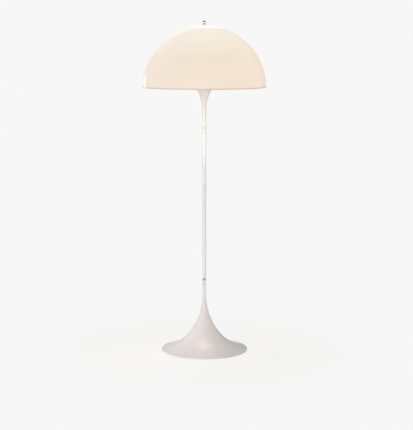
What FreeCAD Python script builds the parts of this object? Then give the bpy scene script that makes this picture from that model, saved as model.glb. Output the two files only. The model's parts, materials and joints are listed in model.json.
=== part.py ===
"""Mushroom floor lamp: an opal dome over a trumpet reflector, on a slim stem and a flared foot.

Lengths are in millimetres. +Z is up, the origin is on the floor under the middle of the foot,
and the cord inlet is at the back of the foot, on +Y. The driving dimensions are in the sheet
"Sizes". Every other size and place is worked out from them and bound to the sheet.
"""

import FreeCAD
import Part
import Sketcher

import math
import os

SIZES = {
    # The whole lamp and the clearances that its fits share
    "overall_height": 1350,
    "stem_diameter": 16,
    "fit_gap": 0.05,
    "seat_gap": 0.2,
    "running_gap": 0.3,

    # Spun foot shell: straight neck, two flare arcs, flat brim and turned-down lip
    "base_diameter": 355,
    "base_height": 275,
    "base_neck_length": 47,
    "base_sheet": 1.5,
    "flare_turn": 35,
    "brim_slope": 10,
    "lip_radius": 3,
    "lip_clearance": 1.2,

    # Foot plate, felt pad, cast weight and the screws that join plate and weight
    "plate_thickness": 1.8,
    "plate_gap": 0.4,
    "pad_thickness": 3,
    "pad_inset": 24,
    "pad_width": 70,
    "weight_inset": 54,
    "weight_thickness": 14,
    "weight_edge_radius": 4,
    "hub_diameter": 72,
    "hub_height": 52,
    "hub_fillet": 6,
    "pocket_diameter": 56,
    "pocket_depth": 34,
    "channel_width": 24,
    "channel_roof": 3,
    "screw_circle": 116,
    "screw_count": 3,
    "screw_diameter": 4,
    "screw_head_diameter": 8,
    "screw_length": 11,
    "screw_socket": 2.5,
    "screw_socket_depth": 1.2,

    # Cord inlet at the back of the foot
    "grommet_bore": 5.6,
    "grommet_wall": 1.2,
    "grommet_length": 20,
    "grommet_flange": 1,
    "grommet_flange_thickness": 2,
    "grommet_height": 5.4,
    "cord_slot_length": 42,

    # Terminal block and the flex inside the stem
    "block_length": 24,
    "block_start": 46,
    "block_gap": 1,
    "block_hole": 6,
    "flex_diameter": 5,
    "flex_bend": 25,

    # Threaded pipes, nuts and washers
    "pipe_diameter": 10,
    "pipe_bore": 7.4,
    "pipe_end": 2,
    "nut_flats": 17,
    "nut_height": 6,
    "washer_diameter": 21,
    "washer_thickness": 2,

    # Neck collar, stem tube, bushes and joint ring
    "collar_diameter": 17,
    "collar_groove_diameter": 14.6,
    "collar_rings": 2,
    "collar_band": 4,
    "collar_throat": 9,
    "spigot_length": 8,
    "stem_wall": 1.2,
    "bush_length": 20,
    "joint_gap": 2.5,

    # Dome shade
    "shade_diameter": 500,
    "shade_height": 249,
    "shade_wall": 3,
    "shade_hole": 7.2,

    # Trumpet reflector under the shade
    "reflector_drop": 162,
    "reflector_neck": 85,
    "reflector_flare": 140,
    "reflector_mouth": 168,
    "reflector_sheet": 1.2,
    "reflector_bead": 1.6,
    "reflector_seat": 48,

    # Lampholder
    "holder_diameter": 39,
    "holder_wall": 2,
    "holder_drop": 18,
    "holder_boss_diameter": 17,
    "holder_boss_height": 4,
    "holder_shoulder": 14,
    "holder_cap_height": 22,
    "holder_thread": 9,
    "holder_skirt_height": 38,
    "holder_flange_rise": 11,
    "holder_flange": 2,
    "holder_thread_step": 0.5,
    "core_drop": 4,
    "core_height": 14,
    "core_wire_hole": 3,
    "core_wire_circle": 18,
    "shell_wall": 0.5,
    "shell_height": 24,
    "contact_width": 5,
    "contact_sheet": 0.6,
    "contact_rise": 3,
    "contact_reach": 10,

    # Light bulb
    "bulb_diameter": 60,
    "bulb_length": 108,
    "bulb_cap_diameter": 26.4,
    "bulb_cap_wall": 0.4,
    "bulb_cap_bevel": 2.4,
    "bulb_neck_diameter": 28,
    "bulb_neck_radius": 40,
    "bulb_wall": 1,
    "bulb_socket": 5,
    "bulb_contact_diameter": 9,
    "bulb_contact_height": 2.2,
    "bulb_insulator_height": 4,

    # Shade carrier: ring, bent wire arms, top disc, stud and gasket
    "ring_height": 8,
    "ring_width": 4,
    "ring_grip_count": 12,
    "ring_grip_diameter": 3,
    "carrier_ring_width": 8,
    "carrier_ring_thickness": 2,
    "arm_count": 3,
    "arm_diameter": 4,
    "arm_circle": 104,
    "arm_bend": 12,
    "arm_weld": 0.5,
    "arm_lap": 4,
    "disc_diameter": 36,
    "disc_thickness": 2.5,
    "gasket_diameter": 26,
    "gasket_thickness": 2.4,
    "stud_diameter": 6,
    "stud_head_diameter": 12,
    "stud_head_height": 3,

    # Finial and its cap washer
    "cap_diameter": 36,
    "cap_thickness": 2,
    "finial_height": 17,
    "finial_ball": 16,
    "finial_foot_diameter": 13,
    "finial_foot_height": 1.5,
    "finial_neck_diameter": 9,
    "finial_thread": 8,
    "finial_tip": 1,
}

COUNTERCLOCKWISE = 1
CLOCKWISE = -1
FULL_TURN = 360

doc = FreeCAD.newDocument("mushroom_floor_lamp")
sheet = doc.addObject("Spreadsheet::Sheet", "Sizes")
for row, (alias, number) in enumerate(SIZES.items(), start=1):
    sheet.set(f"A{row}", alias.replace("_", " "))
    sheet.set(f"B{row}", str(number))
    sheet.setAlias(f"B{row}", alias)
doc.recompute()


class Size:
    """A number together with the expression on the sheet that gives it."""

    def __init__(self, value, text):
        self.value = value
        self.text = text

    def __add__(self, other):
        other = as_size(other)
        return Size(self.value + other.value, f"({self.text} + {other.text})")

    def __radd__(self, other):
        return as_size(other) + self

    def __sub__(self, other):
        other = as_size(other)
        return Size(self.value - other.value, f"({self.text} - {other.text})")

    def __rsub__(self, other):
        return as_size(other) - self

    def __mul__(self, other):
        other = as_size(other)
        return Size(self.value * other.value, f"{self.text} * {other.text}")

    def __rmul__(self, other):
        return as_size(other) * self

    def __truediv__(self, other):
        other = as_size(other)
        return Size(self.value / other.value, f"({self.text}) / ({other.text})")


def as_size(number):
    return number if isinstance(number, Size) else Size(number, str(number))


def size(alias):
    return Size(float(sheet.get(alias)), f"Sizes.{alias}")


def root(square):
    return Size(math.sqrt(square.value), f"sqrt({square.text})")


def sine(degrees):
    return Size(math.sin(math.radians(degrees.value)), f"sin({degrees.text})")


def cosine(degrees):
    return Size(math.cos(math.radians(degrees.value)), f"cos({degrees.text})")


def leg(long_side, short_side):
    """The other short side of a right-angled triangle."""
    return root(long_side * long_side - short_side * short_side)


def bind(thing, path, value):
    thing.setExpression(path, as_size(value).text)


# Sketches and features

def new_body(label):
    body = doc.addObject("PartDesign::Body", label)
    body.Label = label
    return body


def origin_feature(body, role):
    return next(feature for feature in body.Origin.OriginFeatures if feature.Role == role)


def new_sketch(body, name, plane="XZ_Plane", offset=None):
    """A sketch on one of the body's origin planes, or that plane moved along its normal."""
    sketch = body.newObject("Sketcher::SketchObject", f"{body.Name}_{name}")
    sketch.AttachmentSupport = (origin_feature(body, plane), [""])
    sketch.MapMode = "FlatFace"
    if offset is not None:
        bind(sketch, "AttachmentOffset.Base.z", offset)
    return sketch


def set_constraint(sketch, kind, *items, value):
    number = sketch.addConstraint(Sketcher.Constraint(kind, *items, value.value))
    bind(sketch, f"Constraints[{number}]", value)


def place_point(sketch, geometry, position, x, y):
    """Ties a point to the sketch's origin, or to an axis where its coordinate is zero."""
    for kind, axis, distance in (("DistanceX", -2, as_size(x)), ("DistanceY", -1, as_size(y))):
        if distance.text == "0":
            sketch.addConstraint(Sketcher.Constraint("PointOnObject", geometry, position, axis))
        elif distance.value < 0:
            set_constraint(sketch, kind, geometry, position, -1, 1, value=0 - distance)
        else:
            set_constraint(sketch, kind, -1, 1, geometry, position, value=distance)


def arc_between(start, stop, radius, turn):
    """The lesser arc from start to stop. Its ends swap where it runs clockwise."""
    chord = stop - start
    middle = (start + stop) * 0.5
    rise = math.sqrt(radius ** 2 - (chord.Length / 2) ** 2)
    normal = FreeCAD.Vector(-chord.y, chord.x, 0).normalize()
    centre = middle + normal * rise * turn
    first, last = (start, stop) if turn == COUNTERCLOCKWISE else (stop, start)
    angles = [math.atan2(point.y - centre.y, point.x - centre.x) for point in (first, last)]
    circle = Part.Circle(centre, FreeCAD.Vector(0, 0, 1), radius)
    return Part.ArcOfCircle(circle, *angles)


def draw_path(sketch, corners, closed=True):
    """Draws lines and arcs through corners given as (x, y) or (x, y, radius, turn).

    A radius and a turn make an arc of the stretch that leaves the corner.
    """
    points = [FreeCAD.Vector(as_size(c[0]).value, as_size(c[1]).value, 0) for c in corners]
    stretches = []
    for number, corner in enumerate(corners if closed else corners[:-1]):
        start = points[number]
        stop = points[(number + 1) % len(points)]
        if len(corner) == 2:
            line = sketch.addGeometry(Part.LineSegment(start, stop), False)
            stretches.append((line, 1, 2))
            continue
        radius, turn = as_size(corner[2]), corner[3]
        arc = sketch.addGeometry(arc_between(start, stop, radius.value, turn), False)
        stretches.append((arc, 1, 2) if turn == COUNTERCLOCKWISE else (arc, 2, 1))
        set_constraint(sketch, "Radius", arc, value=radius)
    for number, (geometry, start, _) in enumerate(stretches):
        if closed or number:
            before, _, end = stretches[number - 1]
            sketch.addConstraint(Sketcher.Constraint("Coincident", before, end, geometry, start))
        place_point(sketch, geometry, start, *corners[number][:2])
    if not closed:
        geometry, _, end = stretches[-1]
        place_point(sketch, geometry, end, *corners[-1][:2])


def draw_circle(sketch, x, y, radius):
    centre = FreeCAD.Vector(as_size(x).value, as_size(y).value, 0)
    circle = sketch.addGeometry(Part.Circle(centre, FreeCAD.Vector(0, 0, 1), radius.value), False)
    place_point(sketch, circle, 3, x, y)
    set_constraint(sketch, "Radius", circle, value=radius)


def draw_axis(sketch, x, low, high):
    """An upright construction line to turn a profile about."""
    ends = [FreeCAD.Vector(x.value, y.value, 0) for y in (low, high)]
    line = sketch.addGeometry(Part.LineSegment(*ends), True)
    place_point(sketch, line, 1, x, low)
    place_point(sketch, line, 2, x, high)


def turned(label, corners):
    """A body turned about Z from a closed outline of (radius, height) corners."""
    body = new_body(label)
    sketch = new_sketch(body, "outline")
    draw_path(sketch, corners)
    turn = body.newObject("PartDesign::Revolution", f"{label}_turn")
    turn.Profile = sketch
    turn.ReferenceAxis = (sketch, ["V_Axis"])
    turn.Angle = FULL_TURN
    return body


def bored_cylinder(label, outer, bore, low, high):
    return turned(label, [(bore, low), (outer, low), (outer, high), (bore, high)])


def pad(body, sketch, length, symmetric=False):
    feature = body.newObject("PartDesign::Pad", f"{sketch.Name}_pad")
    feature.Profile = sketch
    bind(feature, "Length", length)
    feature.Midplane = symmetric
    return feature


def pocket(body, sketch, length, reverse=False):
    feature = body.newObject("PartDesign::Pocket", f"{sketch.Name}_pocket")
    feature.Profile = sketch
    bind(feature, "Length", length)
    feature.Reversed = reverse
    return feature


def repeat_around(body, feature, count):
    """Repeats a feature about Z."""
    pattern = body.newObject("PartDesign::PolarPattern", f"{feature.Name}_ring")
    pattern.Originals = [feature]
    pattern.Axis = (origin_feature(body, "Z_Axis"), [""])
    pattern.Angle = FULL_TURN
    bind(pattern, "Occurrences", count)
    body.Tip = pattern


def pipe(body, profile, spine):
    feature = body.newObject("PartDesign::AdditivePipe", f"{spine.Name}_pipe")
    feature.Profile = profile
    feature.Spine = (spine, [])
    return feature


def draw_hexagon(sketch, x, flats):
    """A hexagon about a place on the sketch's first axis, with two corners on that axis."""
    half = flats / 2
    corner = flats / root(as_size(3))
    draw_path(sketch, [
        (x + corner, 0), (x + corner / 2, half), (x - corner / 2, half),
        (x - corner, 0), (x - corner / 2, 0 - half), (x + corner / 2, 0 - half)])


def hex_nut(label, low):
    """A nut on the threaded pipe."""
    body = new_body(label)
    sketch = new_sketch(body, "outline", "XY_Plane", low)
    draw_hexagon(sketch, 0, size("nut_flats"))
    draw_circle(sketch, 0, 0, thread_radius)
    pad(body, sketch, size("nut_height"))


# Levels and radii that several pieces share

fit_gap = size("fit_gap")
seat_gap = size("seat_gap")
running_gap = size("running_gap")
stem_radius = size("stem_diameter") / 2
pipe_radius = size("pipe_diameter") / 2
thread_radius = pipe_radius + fit_gap
plate_bottom = size("pad_thickness")
plate_top = plate_bottom + size("plate_thickness")
finial_bottom = size("overall_height") - size("finial_height")
cap_top = finial_bottom - seat_gap
shade_top = cap_top - size("cap_thickness") - seat_gap
rim_level = shade_top - size("shade_height")
rim_radius = size("shade_diameter") / 2
dome_radius = (rim_radius * rim_radius + size("shade_height") * size("shade_height")) / (
    2 * size("shade_height"))
dome_centre = shade_top - dome_radius
base_top = size("base_height")
collar_step = 2 * size("collar_band")
collar_throat_bottom = base_top + size("collar_rings") * collar_step
stem_bottom = collar_throat_bottom + size("collar_throat")
reflector_bottom = rim_level - size("reflector_drop")
stem_top = reflector_bottom - size("joint_gap")
stem_bore = stem_radius - size("stem_wall")
stud_radius = size("stud_diameter") / 2


# Foot

base_radius = size("base_diameter") / 2
base_neck_bore = stem_radius - size("base_sheet")
brim_edge = base_radius - size("lip_radius") * (1 - sine(size("brim_slope")))
brim_level = plate_top + seat_gap + size("base_sheet") * cosine(size("brim_slope"))
lip_centre = brim_level - size("lip_radius") * cosine(size("brim_slope"))
plate_radius = brim_edge - size("base_sheet") * sine(size("brim_slope")) - size("plate_gap")
weight_radius = plate_radius - size("weight_inset")
weight_top = plate_top + size("weight_thickness")
hub_radius = size("hub_diameter") / 2
hub_top = plate_top + size("hub_height")
pocket_radius = size("pocket_diameter") / 2
pocket_top = plate_top + size("pocket_depth")
channel_height = size("weight_thickness") - size("channel_roof")
screw_place = size("screw_circle") / 2
screw_radius = size("screw_diameter") / 2
screw_head_radius = size("screw_head_diameter") / 2
grommet_radius = size("grommet_bore") / 2 + size("grommet_wall")
slot_half = grommet_radius + size("grommet_flange") + seat_gap
block_height = channel_height - size("block_gap")
block_end = size("block_start") + size("block_length")
base_pipe_bottom = pocket_top - size("pipe_end")


def flare_arcs():
    """Radii of the two arcs that carry the neck's upright line out to the brim."""
    turn = size("flare_turn")
    last = 90 - size("brim_slope")
    reach = brim_edge - stem_radius
    drop = base_top - size("base_neck_length") - brim_level
    upper_reach = 1 - cosine(turn)
    upper_drop = sine(turn)
    lower_reach = cosine(turn) - cosine(last)
    lower_drop = sine(last) - sine(turn)
    share = lower_reach * upper_drop - upper_reach * lower_drop
    upper = (lower_reach * drop - lower_drop * reach) / share
    lower = (upper_drop * reach - upper_reach * drop) / share
    return upper, lower


def base_shell():
    """Spun steel trumpet: the neck flares into a flat brim with a turned-down lip."""
    sheet_wall = size("base_sheet")
    upper, lower = flare_arcs()
    flare_top = base_top - size("base_neck_length")
    turn = size("flare_turn")
    slope = size("brim_slope")
    centre = stem_radius + upper

    def meeting(radius):
        return centre - radius * cosine(turn), flare_top - radius * sine(turn)

    bore_upper = upper + sheet_wall
    bore_lower = lower + sheet_wall
    bore_edge = brim_edge - sheet_wall * sine(slope)
    bore_level = brim_level - sheet_wall * cosine(slope)
    lip_bore = base_radius - sheet_wall
    lip_bottom = size("lip_clearance")
    body = turned("base_shell", [
        (stem_radius, base_top),
        (stem_radius, flare_top, upper, COUNTERCLOCKWISE),
        (*meeting(upper), lower, COUNTERCLOCKWISE),
        (brim_edge, brim_level, size("lip_radius"), CLOCKWISE),
        (base_radius, lip_centre),
        (base_radius, lip_bottom),
        (lip_bore, lip_bottom),
        (lip_bore, lip_centre, size("lip_radius") - sheet_wall, COUNTERCLOCKWISE),
        (bore_edge, bore_level, bore_lower, CLOCKWISE),
        (*meeting(bore_upper), bore_upper, CLOCKWISE),
        (base_neck_bore, flare_top),
        (base_neck_bore, base_top)])
    notch = new_sketch(body, "cord_notch")
    half = grommet_radius + seat_gap
    centre_level = size("grommet_height")
    draw_path(notch, [
        (0 - half, 0), (half, 0),
        (half, centre_level, half, COUNTERCLOCKWISE),
        (0, centre_level + half, half, COUNTERCLOCKWISE),
        (0 - half, centre_level)])
    pocket(body, notch, base_radius + size("lip_radius"))


def base_plate():
    """Steel plate inside the lip. Countersunk screws hold the weight on top of it."""
    body = turned("base_plate", [
        (0, plate_bottom), (plate_radius, plate_bottom), (plate_radius, plate_top), (0, plate_top)])
    slot = new_sketch(body, "cord_slot", "XY_Plane", plate_bottom)
    slot_end = plate_radius - size("cord_slot_length")
    draw_path(slot, [
        (0 - slot_half, slot_end), (slot_half, slot_end),
        (slot_half, base_radius), (0 - slot_half, base_radius)])
    pocket(body, slot, size("plate_thickness"), reverse=True)
    sink = new_sketch(body, "screw_hole")
    draw_axis(sink, screw_place, plate_bottom, plate_top)
    draw_path(sink, [
        (screw_place, plate_bottom),
        (screw_place + screw_head_radius + seat_gap, plate_bottom),
        (screw_place + screw_radius + seat_gap, plate_top),
        (screw_place, plate_top)])
    hole = body.newObject("PartDesign::Groove", "base_plate_screw_hole_groove")
    hole.Profile = sink
    hole.ReferenceAxis = (sink, ["Axis0"])
    hole.Angle = FULL_TURN
    repeat_around(body, hole, size("screw_count"))


def base_plate_screws():
    """Countersunk socket screws, flush with the underside of the plate."""
    body = new_body("base_plate_screws")
    outline = new_sketch(body, "outline")
    top = plate_bottom + size("screw_length")
    draw_axis(outline, screw_place, plate_bottom, top)
    draw_path(outline, [
        (screw_place, plate_bottom),
        (screw_place + screw_head_radius, plate_bottom),
        (screw_place + screw_radius, plate_top),
        (screw_place + screw_radius, top),
        (screw_place, top)])
    screw = body.newObject("PartDesign::Revolution", "base_plate_screws_turn")
    screw.Profile = outline
    screw.ReferenceAxis = (outline, ["Axis0"])
    screw.Angle = FULL_TURN
    repeat_around(body, screw, size("screw_count"))
    socket = new_sketch(body, "socket", "XY_Plane", plate_bottom)
    draw_hexagon(socket, screw_place, size("screw_socket"))
    drive = pocket(body, socket, size("screw_socket_depth"), reverse=True)
    repeat_around(body, drive, size("screw_count"))


def base_pad():
    """Felt ring under the plate. The lamp stands on it."""
    outer = plate_radius - size("pad_inset")
    bored_cylinder("base_pad", outer, outer - size("pad_width"), as_size(0), plate_bottom)


def base_weight():
    """Cast iron disc with a threaded hub, a pocket under it and a channel for the cord."""
    edge = size("weight_edge_radius")
    fillet = size("hub_fillet")
    body = turned("base_weight", [
        (thread_radius, pocket_top),
        (pocket_radius, pocket_top),
        (pocket_radius, plate_top),
        (weight_radius, plate_top),
        (weight_radius, weight_top - edge, edge, COUNTERCLOCKWISE),
        (weight_radius - edge, weight_top),
        (hub_radius + fillet, weight_top, fillet, CLOCKWISE),
        (hub_radius, weight_top + fillet),
        (hub_radius, hub_top - edge, edge, COUNTERCLOCKWISE),
        (hub_radius - edge, hub_top),
        (thread_radius, hub_top)])
    channel = new_sketch(body, "channel", "XY_Plane", plate_top)
    half = size("channel_width") / 2
    draw_path(channel, [
        (0 - half, 0), (half, 0), (half, weight_radius), (0 - half, weight_radius)])
    pocket(body, channel, channel_height, reverse=True)
    hole = new_sketch(body, "screw_hole", "XY_Plane", plate_top)
    draw_circle(hole, screw_place, 0, screw_radius + fit_gap)
    depth = size("screw_length") - size("plate_thickness") + size("block_gap")
    repeat_around(body, pocket(body, hole, depth, reverse=True), size("screw_count"))


def cord_grommet():
    """Rubber grommet through the lip, where a supply cord goes in. Turned along local Z."""
    bore = size("grommet_bore") / 2
    flange = grommet_radius + size("grommet_flange")
    inner = size("grommet_length") - size("grommet_flange_thickness")
    body = turned("cord_grommet", [
        (bore, 0), (grommet_radius, 0),
        (grommet_radius, inner), (flange, inner),
        (flange, size("grommet_length")), (bore, size("grommet_length"))])
    body.Placement.Rotation = FreeCAD.Rotation(FreeCAD.Vector(1, 0, 0), -90)
    bind(body, "Placement.Base.y", base_radius + seat_gap - inner)
    bind(body, "Placement.Base.z", size("grommet_height"))


def terminal_block():
    """Two-way terminal block in the weight's channel, with a wire hole through each way."""
    body = new_body("terminal_block")
    outline = new_sketch(body, "outline", "XY_Plane", plate_top)
    half = size("channel_width") / 2 - size("block_gap")
    draw_path(outline, [
        (0 - half, size("block_start")), (half, size("block_start")),
        (half, block_end), (0 - half, block_end)])
    pad(body, outline, block_height)
    hole = new_sketch(body, "wire_holes")
    level = plate_top + block_height / 2
    for side in (-1, 1):
        draw_circle(hole, half / 2 * side, level, size("block_hole") / 2)
    pocket(body, hole, block_end)


def inner_flex():
    """Flex from the terminal block, round a bend under the hub and up to the lampholder."""
    body = new_body("inner_flex")
    level = plate_top + block_height / 2
    bend = size("flex_bend")
    spine = new_sketch(body, "route", "YZ_Plane")
    draw_path(spine, [
        (size("block_start"), level),
        (bend, level, bend, CLOCKWISE),
        (0, level + bend),
        (0, core_bottom)], closed=False)
    profile = new_sketch(body, "section", "XZ_Plane", 0 - size("block_start"))
    draw_circle(profile, 0, level, size("flex_diameter") / 2)
    pipe(body, profile, spine)


def base_pipe():
    """Threaded pipe from the weight's hub to the stem's lower bush."""
    top = stem_bottom + size("bush_length") - size("pipe_end")
    bored_cylinder("base_pipe", pipe_radius, size("pipe_bore") / 2, base_pipe_bottom, top)


def base_pipe_fixings():
    """Washer and lock nut on top of the hub."""
    washer_top = hub_top + size("washer_thickness")
    bored_cylinder("base_pipe_washer", size("washer_diameter") / 2, thread_radius, hub_top, washer_top)
    hex_nut("base_pipe_nut", washer_top)


# Stem

def neck_collar():
    """Grooved collar between the foot and the stem, with a spigot in the foot's neck."""
    band = size("collar_band")
    outer = size("collar_diameter") / 2
    groove = size("collar_groove_diameter") / 2
    spigot = base_neck_bore - fit_gap
    spigot_bottom = base_top - size("spigot_length")
    corners = [(thread_radius, spigot_bottom), (spigot, spigot_bottom), (spigot, base_top)]
    for number in range(int(size("collar_rings").value)):
        level = base_top + number * collar_step
        corners += [
            (groove, level), (groove, level + band),
            (outer, level + band), (outer, level + collar_step)]
    corners += [
        (groove, collar_throat_bottom), (groove, stem_bottom), (thread_radius, stem_bottom)]
    turned("neck_collar", corners)


def stem_tube():
    bored_cylinder("stem_tube", stem_radius, stem_bore, stem_bottom, stem_top)


def stem_bushes():
    """Threaded bushes pressed into both ends of the stem tube."""
    outer = stem_bore - fit_gap
    length = size("bush_length")
    bored_cylinder("stem_lower_bush", outer, thread_radius, stem_bottom, stem_bottom + length)
    bored_cylinder("stem_upper_bush", outer, thread_radius, stem_top - length, stem_top)


def stem_joint_ring():
    """Narrow ring that leaves a shadow line between the stem and the reflector."""
    outer = size("collar_groove_diameter") / 2
    spigot = stem_radius - size("reflector_sheet") - fit_gap
    spigot_top = reflector_bottom + size("spigot_length")
    turned("stem_joint_ring", [
        (thread_radius, stem_top), (outer, stem_top), (outer, reflector_bottom),
        (spigot, reflector_bottom), (spigot, spigot_top), (thread_radius, spigot_top)])


# Reflector

reflector_flare_bottom = rim_level - size("reflector_neck")
reflector_axis = stem_radius + size("reflector_flare")
reflector_bore = size("reflector_flare") + size("reflector_sheet")
reflector_seat = reflector_flare_bottom + size("reflector_seat")
reflector_washer_top = reflector_seat + size("washer_thickness")


def reflector():
    """Spun trumpet that opens up under the shade, with a rolled bead at its mouth."""
    flare = size("reflector_flare")
    mouth = size("reflector_mouth") / 2
    inset = reflector_axis - mouth
    rise = leg(flare, inset)
    bore_inset = reflector_bore * inset / flare
    bore_rise = reflector_bore * rise / flare
    bead = size("reflector_bead")
    neck_bore = stem_radius - size("reflector_sheet")
    turned("reflector", [
        (stem_radius, reflector_bottom),
        (stem_radius, reflector_flare_bottom, flare, CLOCKWISE),
        (mouth, reflector_flare_bottom + rise, bead, COUNTERCLOCKWISE),
        (mouth + bead, reflector_flare_bottom + rise + bead, bead, COUNTERCLOCKWISE),
        (reflector_axis - bore_inset, reflector_flare_bottom + bore_rise,
         reflector_bore, COUNTERCLOCKWISE),
        (neck_bore, reflector_flare_bottom),
        (neck_bore, reflector_bottom)])


def reflector_fixings():
    """Washer wedged in the throat of the reflector, and the nut that pulls it down."""
    outer = reflector_axis - leg(reflector_bore, size("reflector_seat")) - seat_gap
    bored_cylinder("reflector_washer", outer, thread_radius, reflector_seat, reflector_washer_top)
    hex_nut("reflector_nut", reflector_washer_top)


def upper_pipe():
    """Threaded pipe from the stem's upper bush to the lampholder."""
    low = stem_top - size("bush_length") + size("pipe_end")
    high = holder_bottom + size("holder_thread")
    bored_cylinder("upper_pipe", pipe_radius, size("pipe_bore") / 2, low, high)


# Lampholder

holder_radius = size("holder_diameter") / 2
holder_bore = holder_radius - size("holder_wall")
holder_bottom = rim_level - size("holder_drop")
skirt_bottom = holder_bottom + size("holder_cap_height")
skirt_top = skirt_bottom + size("holder_skirt_height")
skirt_thread = holder_radius - size("holder_thread_step")
flange_bottom = skirt_bottom + size("holder_flange_rise")
flange_top = flange_bottom + size("holder_flange")
core_bottom = skirt_bottom - size("core_drop")
core_top = core_bottom + size("core_height")
bulb_cap_radius = size("bulb_cap_diameter") / 2
shell_bore = bulb_cap_radius + running_gap
contact_top = core_top + size("contact_rise")


def holder_cap():
    """Moulded cap of the lampholder, screwed on the upper pipe."""
    boss = size("holder_boss_diameter") / 2
    boss_top = holder_bottom + size("holder_boss_height")
    shoulder = holder_bottom + size("holder_shoulder")
    thread_top = holder_bottom + size("holder_thread")
    turned("holder_cap", [
        (thread_radius, holder_bottom),
        (boss, holder_bottom),
        (boss, boss_top),
        (holder_radius, shoulder),
        (holder_radius, skirt_bottom),
        (holder_bore, skirt_bottom),
        (holder_bore, shoulder),
        (boss, thread_top),
        (thread_radius, thread_top)])


def holder_core():
    """Porcelain core that carries the screw shell and the centre contact, with two wire holes."""
    outer = holder_bore - fit_gap
    body = turned("holder_core", [
        (0, core_bottom), (outer, core_bottom), (outer, core_top), (0, core_top)])
    holes = new_sketch(body, "wire_holes", "XY_Plane", core_bottom)
    for side in (-1, 1):
        draw_circle(holes, 0, size("core_wire_circle") / 2 * side, size("core_wire_hole") / 2)
    pocket(body, holes, size("core_height"), reverse=True)


def holder_skirt():
    """Threaded skirt with the flange that the shade carrier rests on."""
    flange = holder_radius + size("holder_flange")
    turned("holder_skirt", [
        (holder_bore, skirt_bottom),
        (holder_radius, skirt_bottom),
        (holder_radius, flange_bottom),
        (flange, flange_bottom),
        (flange, flange_top),
        (skirt_thread, flange_top),
        (skirt_thread, skirt_top),
        (holder_bore, skirt_top)])


def holder_screw_shell():
    """Brass screw shell on the core."""
    outer = shell_bore + size("shell_wall")
    bored_cylinder("holder_screw_shell", outer, shell_bore, core_top, core_top + size("shell_height"))


def holder_contact():
    """Bent spring tongue under the bulb's centre contact."""
    body = new_body("holder_contact")
    outline = new_sketch(body, "outline")
    metal = size("contact_sheet")
    reach = size("contact_reach")
    knee = reach / 2
    draw_path(outline, [
        (knee, core_top), (reach, core_top), (reach, core_top + metal), (knee + metal, core_top + metal),
        (knee + metal, contact_top), (0 - knee, contact_top), (0 - knee, contact_top - metal),
        (knee, contact_top - metal)])
    pad(body, outline, size("contact_width"), symmetric=True)


# Bulb

bulb_bottom = contact_top + running_gap
bulb_top = bulb_bottom + size("bulb_length")
bulb_radius = size("bulb_diameter") / 2
globe_centre = bulb_top - bulb_radius
bulb_insulator_bottom = bulb_bottom + size("bulb_contact_height")
bulb_cap_bottom = bulb_insulator_bottom + size("bulb_insulator_height")
bulb_neck = size("bulb_neck_diameter") / 2
neck_axis = bulb_neck + size("bulb_neck_radius")
neck_reach = bulb_radius + size("bulb_neck_radius")
neck_drop = leg(neck_reach, neck_axis)
bulb_cap_top = globe_centre - neck_drop


def bulb_contact():
    """Solder pad at the tip of the bulb."""
    outer = size("bulb_contact_diameter") / 2
    turned("bulb_contact", [
        (0, bulb_bottom), (outer / 2, bulb_bottom), (outer, bulb_insulator_bottom),
        (0, bulb_insulator_bottom)])


def bulb_insulator():
    """Black glass cone between the contact and the cap."""
    low = size("bulb_contact_diameter") / 2 + size("bulb_cap_wall")
    high = bulb_cap_radius - size("bulb_cap_bevel")
    turned("bulb_insulator", [
        (0, bulb_insulator_bottom), (low, bulb_insulator_bottom), (high, bulb_cap_bottom),
        (0, bulb_cap_bottom)])


def bulb_cap():
    """Screw cap of the bulb, bevelled at its lower edge."""
    wall = size("bulb_cap_wall")
    bevel = size("bulb_cap_bevel")
    turned("bulb_cap", [
        (0, bulb_cap_bottom),
        (bulb_cap_radius - bevel, bulb_cap_bottom),
        (bulb_cap_radius, bulb_cap_bottom + bevel),
        (bulb_cap_radius, bulb_cap_top),
        (bulb_cap_radius - wall, bulb_cap_top),
        (bulb_cap_radius - wall, bulb_cap_bottom + bevel),
        (bulb_cap_radius - bevel, bulb_cap_bottom + wall),
        (0, bulb_cap_bottom + wall)])


def bulb_glass():
    """Opal glass envelope: a globe that narrows to a neck seated on the cap."""
    wall = size("bulb_wall")
    neck_curve = size("bulb_neck_radius")
    spigot = bulb_cap_radius - size("bulb_cap_wall") - fit_gap
    spigot_bottom = bulb_cap_top - size("bulb_socket")

    def meeting(radius):
        return neck_axis * radius / neck_reach, globe_centre - neck_drop * radius / neck_reach

    turned("bulb_glass", [
        (spigot - wall, spigot_bottom),
        (spigot, spigot_bottom),
        (spigot, bulb_cap_top),
        (bulb_neck, bulb_cap_top, neck_curve, CLOCKWISE),
        (*meeting(bulb_radius), bulb_radius, COUNTERCLOCKWISE),
        (bulb_radius, globe_centre, bulb_radius, COUNTERCLOCKWISE),
        (0, bulb_top),
        (0, bulb_top - wall, bulb_radius - wall, CLOCKWISE),
        (bulb_radius - wall, globe_centre, bulb_radius - wall, CLOCKWISE),
        (*meeting(bulb_radius - wall), neck_curve + wall, COUNTERCLOCKWISE),
        (neck_axis - leg(neck_curve + wall, wall), bulb_cap_top + wall),
        (spigot - wall, bulb_cap_top + wall)])


# Shade and its carrier

carrier_top = flange_top + size("carrier_ring_thickness")
gasket_radius = size("gasket_diameter") / 2
gasket_top = dome_centre + leg(dome_radius - size("shade_wall"), gasket_radius) - seat_gap
disc_top = gasket_top - size("gasket_thickness")
disc_bottom = disc_top - size("disc_thickness")
disc_radius = size("disc_diameter") / 2
arm_radius = size("arm_diameter") / 2


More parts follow.
